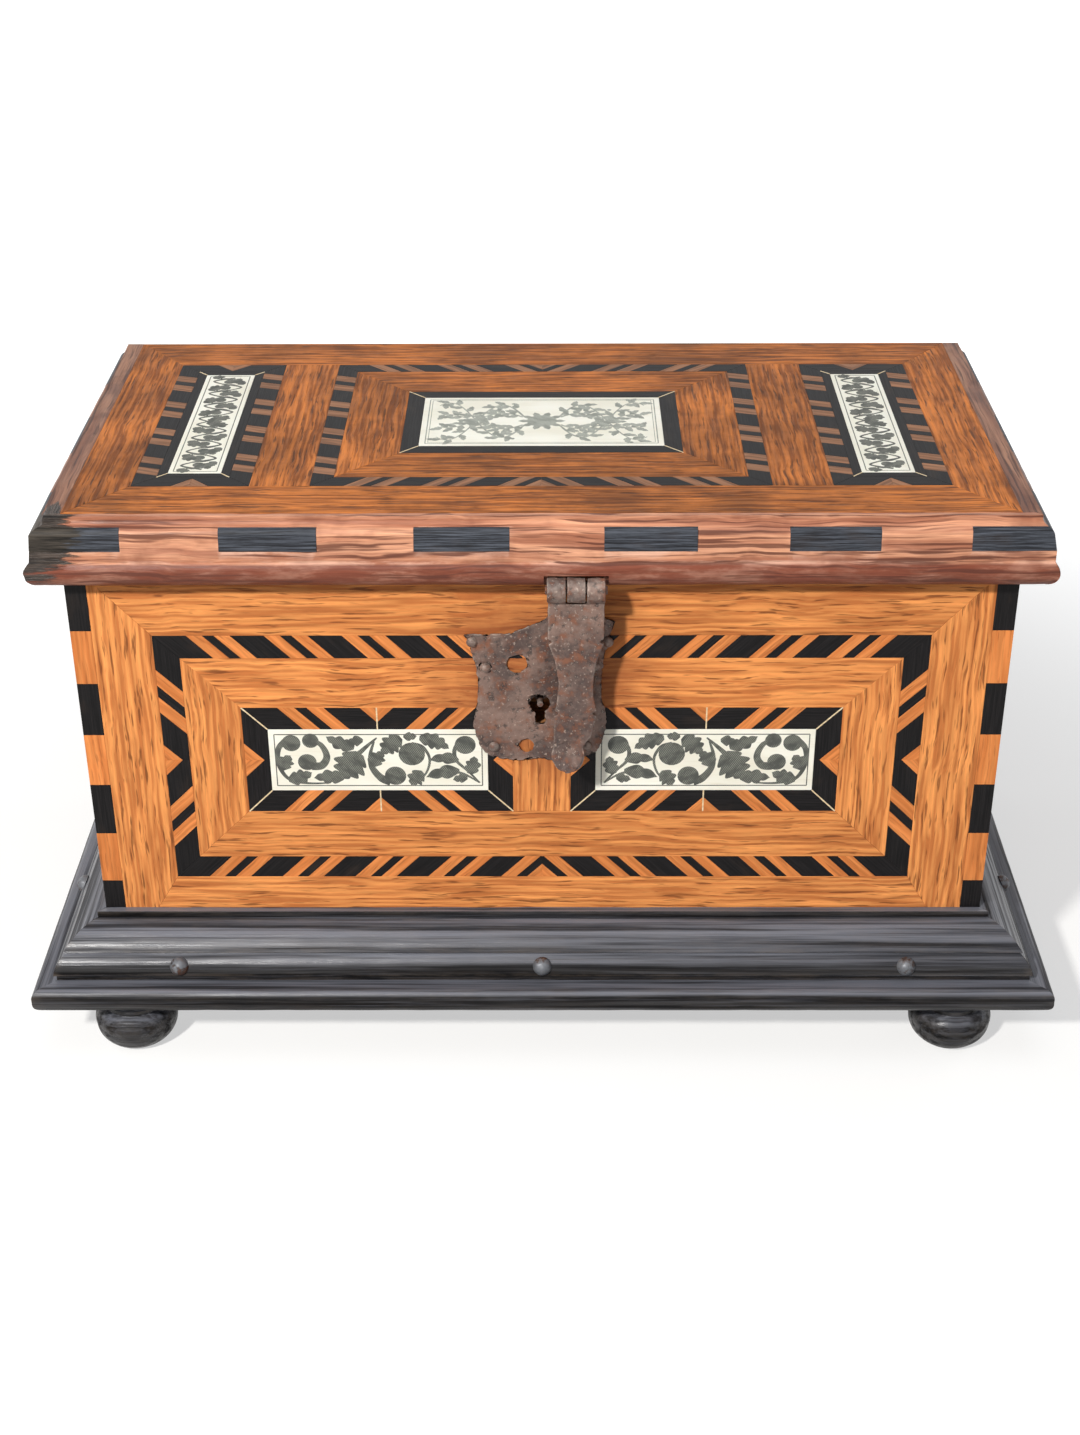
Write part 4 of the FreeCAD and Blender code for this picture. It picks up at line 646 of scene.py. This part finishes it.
class Plaque:
    """The face of a bone plate, drawn on in millimetres: u along it, v across, 0 in its middle."""

    # Inlaid shapes stand at different levels, a hair apart, so that none that meet lie in one plane
    proud = 0.02
    level_step = 0.0002
    levels = 60
    depth = 0.2
    steps_per_span = 6
    bulb_steps = 10
    blunt_tip = 0.05
    glue_line = 0.5

    def __init__(self, node, hand=1):
        self.node = node
        self.hand = hand
        low, high = (Vector(c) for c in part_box(node))
        self.centre = (low + high) / 2
        spans = high - low
        if spans.y < spans.x and spans.y < spans.z:
            self.axes = (X, Z, -Y)
        elif spans.x > spans.y:
            self.axes = (X, Y, Z)
        else:
            self.axes = (Y, -X, Z)
        self.length, self.width, self.thickness = (abs(spans.dot(axis)) / MM for axis in self.axes)
        self.start()

    def start(self):
        """Begins a new mesh of inlaid shapes."""
        self.mesh = bmesh.new()
        self.grain = self.mesh.verts.layers.float_vector.new("grain")
        self.tint_with_painted_shade = self.mesh.verts.layers.float.new("tint_with_painted_shade")
        self.count = 0

    def edge(self, points, lift):
        """Vertices at places on the face, lifted a little from the plate's middle."""
        along, across, out = self.axes
        verts = []
        for u, v in points:
            place = along * (self.hand * u) + across * v + out * lift
            vert = self.mesh.verts.new(self.centre + place * MM)
            vert[self.grain] = Vector((u + 0.6 * v, v, 0)) * MM
            vert[self.tint_with_painted_shade] = 1.0
            verts.append(vert)
        return verts

    def strip(self, left, right):
        """A flat shape let into the face between two edges."""
        top = self.thickness / 2 + self.proud + self.level_step * self.count
        self.count = (self.count + 1) % self.levels
        deep = top - self.depth
        edges = ((left, top), (right, top), (right, deep), (left, deep))
        sections = list(zip(*[self.edge(points, lift) for points, lift in edges]))
        for near, far in zip(sections, sections[1:]):
            for i in range(4):
                j = (i + 1) % 4
                self.mesh.faces.new((near[i], near[j], far[j], far[i]))
        self.mesh.faces.new(sections[0][::-1])
        self.mesh.faces.new(sections[-1])

    def stem(self, points, first, last):
        """A line through points that swells or thins along its way."""
        ends = [points[0], *points, points[-1]]
        curve = []
        for four in zip(ends, ends[1:], ends[2:], ends[3:]):
            for i in range(self.steps_per_span):
                curve.append(on_curve(four, i / self.steps_per_span))
        curve.append(Vector(points[-1]))
        left, right = [], []
        for i, at in enumerate(curve):
            way = (curve[min(i + 1, len(curve) - 1)] - curve[max(i - 1, 0)]).normalized()
            side = Vector((-way.y, way.x)) * (first + (last - first) * i / (len(curve) - 1)) / 2
            left.append(at + side)
            right.append(at - side)
        self.strip(left, right)

    def bulb(self, u, v, radius):
        """A round spot, between its upper and lower half circles."""
        turns = [math.pi * (i + 0.5) / self.bulb_steps for i in range(self.bulb_steps)]
        left = [(u + radius * math.cos(a), v + radius * math.sin(a)) for a in turns]
        right = [(u + radius * math.cos(a), v - radius * math.sin(a)) for a in turns]
        self.strip(left, right)

    def leaf(self, u, v, heading, length, width, bend=0, lobes=3):
        """A lobed leaf that starts at a point and bends along its way."""
        steps = 8 * lobes
        at, way = Vector((u, v)), math.radians(heading)
        sides = ([], [])
        for i in range(steps + 1):
            share = i / steps
            swell = math.sin(math.pi * (0.06 + 0.94 * share) ** 0.75)
            lobe = 0.66 + 0.34 * abs(math.sin(math.pi * lobes * share))
            half = self.blunt_tip + width / 2 * swell * lobe
            ahead = Vector((math.cos(way), math.sin(way)))
            lean = Vector((-ahead.y, ahead.x)) * half
            sides[0].append(at + lean + ahead * (0.4 * half))
            sides[1].append(at - lean + ahead * (0.4 * half))
            way += math.radians(bend) / steps
            at = at + ahead * (length / steps)
        self.strip(*sides)

    def ruled(self, start, end, thick):
        """A straight line of one thickness."""
        self.stem([start, end], thick, thick)

    def frame(self, inset, thick):
        """A thin ruled line round the plate."""
        u, v = self.length / 2 - inset, self.width / 2 - inset
        corners = [(-u, -v), (u, -v), (u, v), (-u, v)]
        for start, end in zip(corners, corners[1:] + corners[:1]):
            self.ruled(start, end, thick)

    def joints(self, reach, middles=False):
        """Pale glue lines where the pieces round the plate meet at its corners and in its middle."""
        u, v = self.length / 2, self.width / 2
        for way_u in (-1, 1):
            for way_v in (-1, 1):
                end = (way_u * (u + reach), way_v * (v + reach))
                self.ruled((way_u * u, way_v * v), end, self.glue_line)
        if middles:
            for way in (-1, 1):
                self.ruled((0, way * v), (0, way * (v + reach)), self.glue_line)
        self.finish("joints", GLUE)

    def finish(self, name, material):
        """Shows the shapes drawn so far as one piece."""
        bmesh.ops.recalc_face_normals(self.mesh, faces=self.mesh.faces)
        show(self.mesh, f"{self.node}_{name}", self.node, material)
        self.start()


def scrollwork(plaque):
    """Two large bulb-ended scrolls and a spray of stems at the end, with lobed leaves between them."""
    plaque.frame(2.1, 0.4)
    # The first scroll turns in from the plate's foot to a bulb at its corner, with a curl inside it
    plaque.stem([(-18, -9.6), (-26, -9.8), (-33, -8), (-36.4, -2), (-36.2, 4.6), (-33.6, 8)], 0.5, 2.4)
    plaque.bulb(-31.4, 7.2, 3.4)
    plaque.stem([(-25, 8.6), (-20.8, 6.6), (-18.8, 1.6), (-20.8, -2.2), (-24.4, -2.4)], 1.4, 3.6)
    plaque.bulb(-26, -0.8, 3.4)
    plaque.bulb(-24.4, 8.2, 3.0)
    plaque.leaf(-35.6, -4.4, 70, 7.4, 6.4, -20)
    plaque.leaf(-33.6, -8.4, 10, 9.6, 6.6, 20)
    plaque.leaf(-12.6, -7.6, 170, 11.4, 6.4, 20)
    # A broad leaf hangs between the scrolls
    plaque.stem([(-0.4, 9.4), (-4, 6), (-8, 2)], 0.5, 2.2)
    plaque.leaf(-6.4, 3.4, 232, 13.6, 13, 10, 4)
    plaque.leaf(-8.4, 5.2, 165, 11.4, 6, -20)
    plaque.leaf(-5.2, 8.2, 175, 6, 4.6, 40, 2)
    # The second scroll holds two bulbs
    plaque.stem([(-1.4, 8), (-3, 2.4), (-2.6, -3), (0.6, -7.6), (4, -9)], 0.6, 3.8)
    plaque.bulb(5.8, -6.6, 3.9)
    plaque.leaf(-2.6, -3, 70, 8, 6.4, -30)
    plaque.bulb(12, 2.6, 4.8)
    plaque.stem([(12, 7), (16, 5.6), (18.4, 0.6), (17, -5.4), (13, -9.8)], 1.4, 0.6)
    plaque.leaf(16.2, -5, 215, 7.4, 7, 30)
    plaque.leaf(8.6, 9.8, 215, 10.4, 8.2, 20, 4)
    plaque.leaf(9, 10.2, -10, 5, 3.8, 20, 2)
    plaque.leaf(14.6, 9.4, -8, 12, 6.8, -30, 4)
    # Stems fan out from the corner to the last bulb and its leaves
    plaque.stem([(36.4, -9.6), (32, -4.4), (28.4, -0.6), (27.4, 3.6), (28.8, 7)], 0.6, 1.8)
    plaque.bulb(31.4, 6.4, 3.8)
    plaque.stem([(36.4, -9.6), (31, -6), (26, -4.6)], 0.6, 1.2)
    plaque.leaf(29, -0.4, 155, 11, 5, 50, 2)
    plaque.leaf(29.4, -4.6, 180, 12.8, 6, 25, 2)
    plaque.leaf(32.2, -7.6, 178, 5.6, 4, 20, 2)
    plaque.leaf(32.4, -6, 60, 8, 6, 30)
    plaque.finish("engraving", INK)


def small_scroll(plaque, u, step, tall, way):
    """One scroll of a running stem: the stem's wave, a curl with its bulb, and two leaves."""
    reach = abs(tall)
    up = tall / reach
    heading = 90 * up - 40 * way * up

    def at(along, across):
        return u + along * step, across * tall

    plaque.stem([at(-0.5, -0.3), at(0, -0.8), at(0.5, 0.3)], 0.8, 1.2)
    plaque.stem([at(0, -0.8), at(0.36, -0.2), at(0, 0.3)], 0.8, 2.4)
    plaque.bulb(*at(-0.14, 0.05), 0.3 * reach)
    plaque.leaf(*at(-0.3, 0.2), heading, 0.8 * reach, 0.72 * reach, 40 * way)
    plaque.leaf(*at(0.42, -0.95), heading, 0.75 * reach, 0.62 * reach, -40 * way)


def running_scroll(plaque, units):
    """Small scrolls on alternate sides of a wavy stem, mirrored about the middle of the plate."""
    plaque.frame(1.7, 0.35)
    half = plaque.length / 2 - 3.4
    reach = plaque.width / 2 - 2.4
    pitch = half / units
    for way in (-1, 1):
        for i in range(units):
            tall = reach if i % 2 else -reach
            small_scroll(plaque, way * pitch * (i + 0.5), way * pitch, tall, way)
    plaque.leaf(-0.6 * reach, 0, 0, 1.2 * reach, 0.9 * reach, 0, 4)
    plaque.finish("engraving", INK)


def branch(plaque, wave, up):
    """A stem along a wave, with leaves on alternate sides and a berry at every third."""
    plaque.stem(wave, 0.9, 0.4)
    for i in range(1, len(wave) - 1):
        way = wave[i + 1] - wave[i]
        heading = math.degrees(math.atan2(way.y, way.x))
        lean = 60 if i % 2 else -60
        plaque.leaf(*wave[i], heading + lean, 5.4, 2.8, -lean / 2, 2)
        if i % 3 == 0:
            berry = wave[i] + Vector((way.y, -way.x)).normalized() * 3 * up
            plaque.bulb(*berry, 0.8)


def garland(plaque):
    """Leafy branches that leave a rosette in the middle and wave to both ends."""
    plaque.frame(2.2, 0.4)
    plaque.frame(3.2, 0.25)
    reach = plaque.width / 2 - 5.6
    half = plaque.length / 2 - 6
    petals, steps, rosette = 10, 18, 7
    for petal in range(petals):
        heading = 360 * petal / petals
        way = Vector((math.cos(math.radians(heading)), math.sin(math.radians(heading))))
        plaque.leaf(*(way * 1.8), heading, rosette, 3.6, 0, 2)
    plaque.bulb(0, 0, 2.2)
    for side in (-1, 1):
        for up in (-1, 1):
            for inner in (0.0, 1.0):
                wave = []
                for i in range(steps + 1):
                    share = i / steps
                    swing = math.sin(math.tau * (0.8 * share + 0.05)) * (0.9 - 0.55 * inner)
                    level = up * reach * (swing - 0.12 * share + 0.1 * inner)
                    wave.append(Vector((side * (rosette + (half - rosette) * share), level)))
                branch(plaque, wave, up)
    plaque.finish("engraving", FINE_INK)


# How far the glue lines run out from the plates, in millimetres
HATCHED_BAND = 9
CENTRE_FRAME = 6.4
SIDE_FRAME = 3.4
for node, hand in (("front_left_plaque", 1), ("front_right_plaque", -1)):
    plaque = Plaque(node, hand)
    plaque.joints(HATCHED_BAND, middles=True)
    scrollwork(plaque)
for node in ("lid_left_plaque", "lid_right_plaque"):
    plaque = Plaque(node)
    plaque.joints(SIDE_FRAME)
    running_scroll(plaque, units=7)
plaque = Plaque("lid_centre_plaque")
plaque.joints(CENTRE_FRAME)
garland(plaque)


# Iron: lock, hasp, hinges and nails
HANDLING = 0.12


def forged(node, voxel_mm, pits_mm, ragged_mm, relief=None, handled_from=None):
    """A CAD node as forged iron, pitted, its rims eaten by rust, rubbed bright above a height."""
    data = bpy.data.meshes.new(f"{node}_rough")
    mesh = gather(solids(node))
    mesh.to_mesh(data)
    mesh.free()
    rough = bpy.data.objects.new(f"{node}_rough", data)
    bpy.context.scene.collection.objects.link(rough)
    remesh = rough.modifiers.new("skin", "REMESH")
    remesh.mode = "VOXEL"
    remesh.voxel_size = voxel_mm * MM
    mesh = bmesh.new()
    mesh.from_mesh(rough.evaluated_get(bpy.context.evaluated_depsgraph_get()).to_mesh())
    bpy.data.objects.remove(rough)
    bmesh.ops.smooth_vert(
        mesh, verts=mesh.verts, factor=0.5, use_axis_x=True, use_axis_y=True, use_axis_z=True
    )
    write_wear(mesh)
    wear = mesh.verts.layers.float["wear"]
    mesh.normal_update()
    for vert in mesh.verts:
        if handled_from is not None and vert.co.z > handled_from:
            vert[wear] += HANDLING
        lump = 0.5 * uneven(vert.co, 5) + 0.4 * uneven(vert.co, 2.6) - 0.5
        depth = pits_mm * (lump + min(0.0, uneven(vert.co, 1.6)))
        rim = max(0.0, 1 - 1.6 * abs(vert.normal.y))
        eaten = uneven(vert.co, 5) + 0.5 * uneven(vert.co, 2)
        depth += rim * ragged_mm * min(0.1, eaten)
        if relief and vert.normal.y < -0.5:
            depth += relief(vert.co)
        vert.co += vert.normal * (depth * MM)
    thing = show(mesh, f"{node}_dressed", node, MATERIALS["iron"], smooth=True)
    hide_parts(node)


# The thumb disc at the strap's tip, in millimetres
TIP_RADIUS = 6
DISC_RADIUS = 5.2
DISC_RIM = 0.4
DISC_HEIGHT = 1.1
RIDGE_HEIGHT = 0.25
RIDGE_PITCH = 1.9
STRAP_TIP = min((vert.co for vert in NODES["hasp_strap"].data.vertices), key=lambda place: place.z)
THUMB = (STRAP_TIP.x, STRAP_TIP.z + TIP_RADIUS * MM)


def thumb_disc(point):
    """The height of the raised, ridged disc where a thumb lifts the strap, in millimetres."""
    away = math.hypot(point.x - THUMB[0], point.z - THUMB[1]) / MM
    raised = min(1.0, max(0.0, (DISC_RADIUS - away) / DISC_RIM))
    ridge = RIDGE_HEIGHT * math.sin(math.tau * point.x / (RIDGE_PITCH * MM))
    return raised * (DISC_HEIGHT + ridge)


BARREL_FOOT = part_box("hasp_hinge_leaf")[0][2]
FORGED = ("lock_plate", "hasp_strap", "hasp_hinge_leaf")
IRON_OF = {"case_nails": HANDLED_IRON, "drill_pin": HANDLED_IRON, "base_nails": NAIL_IRON}
forged("lock_plate", voxel_mm=0.4, pits_mm=0.9, ragged_mm=1.8)
forged(
    "hasp_strap",
    voxel_mm=0.35,
    pits_mm=0.25,
    ragged_mm=0.5,
    relief=thumb_disc,
    handled_from=BARREL_FOOT,
)
forged("hasp_hinge_leaf", voxel_mm=0.35, pits_mm=0.15, ragged_mm=0.2, handled_from=BARREL_FOOT)
for node in NODES:
    if SLOT_OF[node] == "iron" and node not in FORGED:
        materials = NODES[node].data.materials
        materials.clear()
        materials.append(IRON_OF.get(node, MATERIALS["iron"]))


# Floor, light and camera
WHITE = (1.0, 1.0, 1.0, 1.0)
FLOOR_GREY = (0.45, 0.45, 0.45, 1.0)
FLOOR_REACH = 6
ROOM_LIGHT = 0.13
LAMP_TARGET = Vector((0, 0, 0.12))
EYE = Vector((0.003978, -0.722494, 0.506098))


def seen_directly(shader):
    """1 for what the camera sees, also mirrored or through glass, and 0 for light on a surface."""
    path = shader.add("LightPath")
    seen = path.outputs["Is Camera Ray"]
    for kind in ("Glossy", "Transmission"):
        seen = shader.math("MAXIMUM", seen, path.outputs[f"Is {kind} Ray"])
    return seen


def floor():
    """A pale floor that keeps the shadow near the casket and is white farther away."""
    shader = Shader(bpy.data.materials.new("floor_paper"))
    shader.set(Base_Color=FLOOR_GREY, Roughness=0.9, Specular_IOR_Level=0.1)
    shader.set(Emission_Color=WHITE)
    far = shader.ramp(shader.away_from((0, 0, 0)), 0.24, 0.6, 0.55, 1.0)
    shader.set(Emission_Strength=shader.math("MULTIPLY", seen_directly(shader), far))
    mesh = bmesh.new()
    bmesh.ops.create_grid(mesh, x_segments=1, y_segments=1, size=FLOOR_REACH)
    data = bpy.data.meshes.new("floor")
    mesh.to_mesh(data)
    mesh.free()
    data.materials.append(shader.owner)
    ground = bpy.data.objects.new("floor", data)
    bpy.context.scene.collection.objects.link(ground)


def lamp(name, place, size, power, colour=(1, 1, 1)):
    """A round lamp that looks at the middle of the casket."""
    data = bpy.data.lights.new(name, "AREA")
    data.shape = "DISK"
    data.size = size
    data.energy = power
    data.color = colour
    light = bpy.data.objects.new(name, data)
    light.location = place
    aim = LAMP_TARGET - light.location
    light.rotation_euler = aim.to_track_quat("-Z", "Y").to_euler()
    bpy.context.scene.collection.objects.link(light)


def world():
    """An even pale room; white where it is seen."""
    sky = bpy.data.worlds.new("studio")
    bpy.context.scene.world = sky
    shader = Shader(sky, "Background")
    strength = shader.ramp(seen_directly(shader), 0.0, 1.0, ROOM_LIGHT, 1.0)
    shader.set(Color=WHITE, Strength=strength)


def camera():
    """The photograph's view: its place, tilt and focal length."""
    pitch, yaw, roll = math.radians(29.992), 0.0071, -0.0043
    photo_height, focal_length = 1435, 2065.06
    ahead = Vector((-math.sin(yaw), math.cos(yaw), 0))
    side = Vector((math.cos(yaw), math.sin(yaw), 0))
    forward = ahead * math.cos(pitch) - Z * math.sin(pitch)
    rise = ahead * math.sin(pitch) + Z * math.cos(pitch)
    right = side * math.cos(roll) + rise * math.sin(roll)
    up = rise * math.cos(roll) - side * math.sin(roll)
    data = bpy.data.cameras.new("photo_view")
    data.sensor_fit = "VERTICAL"
    data.sensor_height = 36
    data.lens = data.sensor_height * focal_length / photo_height
    data.clip_start = 0.01
    eye = bpy.data.objects.new("photo_view", data)
    turn = Matrix((right, up, -forward)).transposed().to_4x4()
    eye.matrix_world = Matrix.Translation(EYE) @ turn
    bpy.context.scene.collection.objects.link(eye)
    bpy.context.scene.camera = eye


floor()
world()
lamp("key", (-0.76, -1.31, 1.26), size=0.14, power=42, colour=(1.0, 0.97, 0.92))
lamp("ceiling", (0.1, -0.25, 1.6), size=1.1, power=5, colour=(0.92, 0.96, 1.0))
lamp("fill", (1.3, -1.2, 0.7), size=1.0, power=1)
lamp("left_back", (-1.5, 1.0, 0.5), size=0.8, power=5)
lamp("right_back", (1.5, 1.0, 0.5), size=0.8, power=5)
camera()
bpy.context.scene.view_settings.view_transform = "Standard"
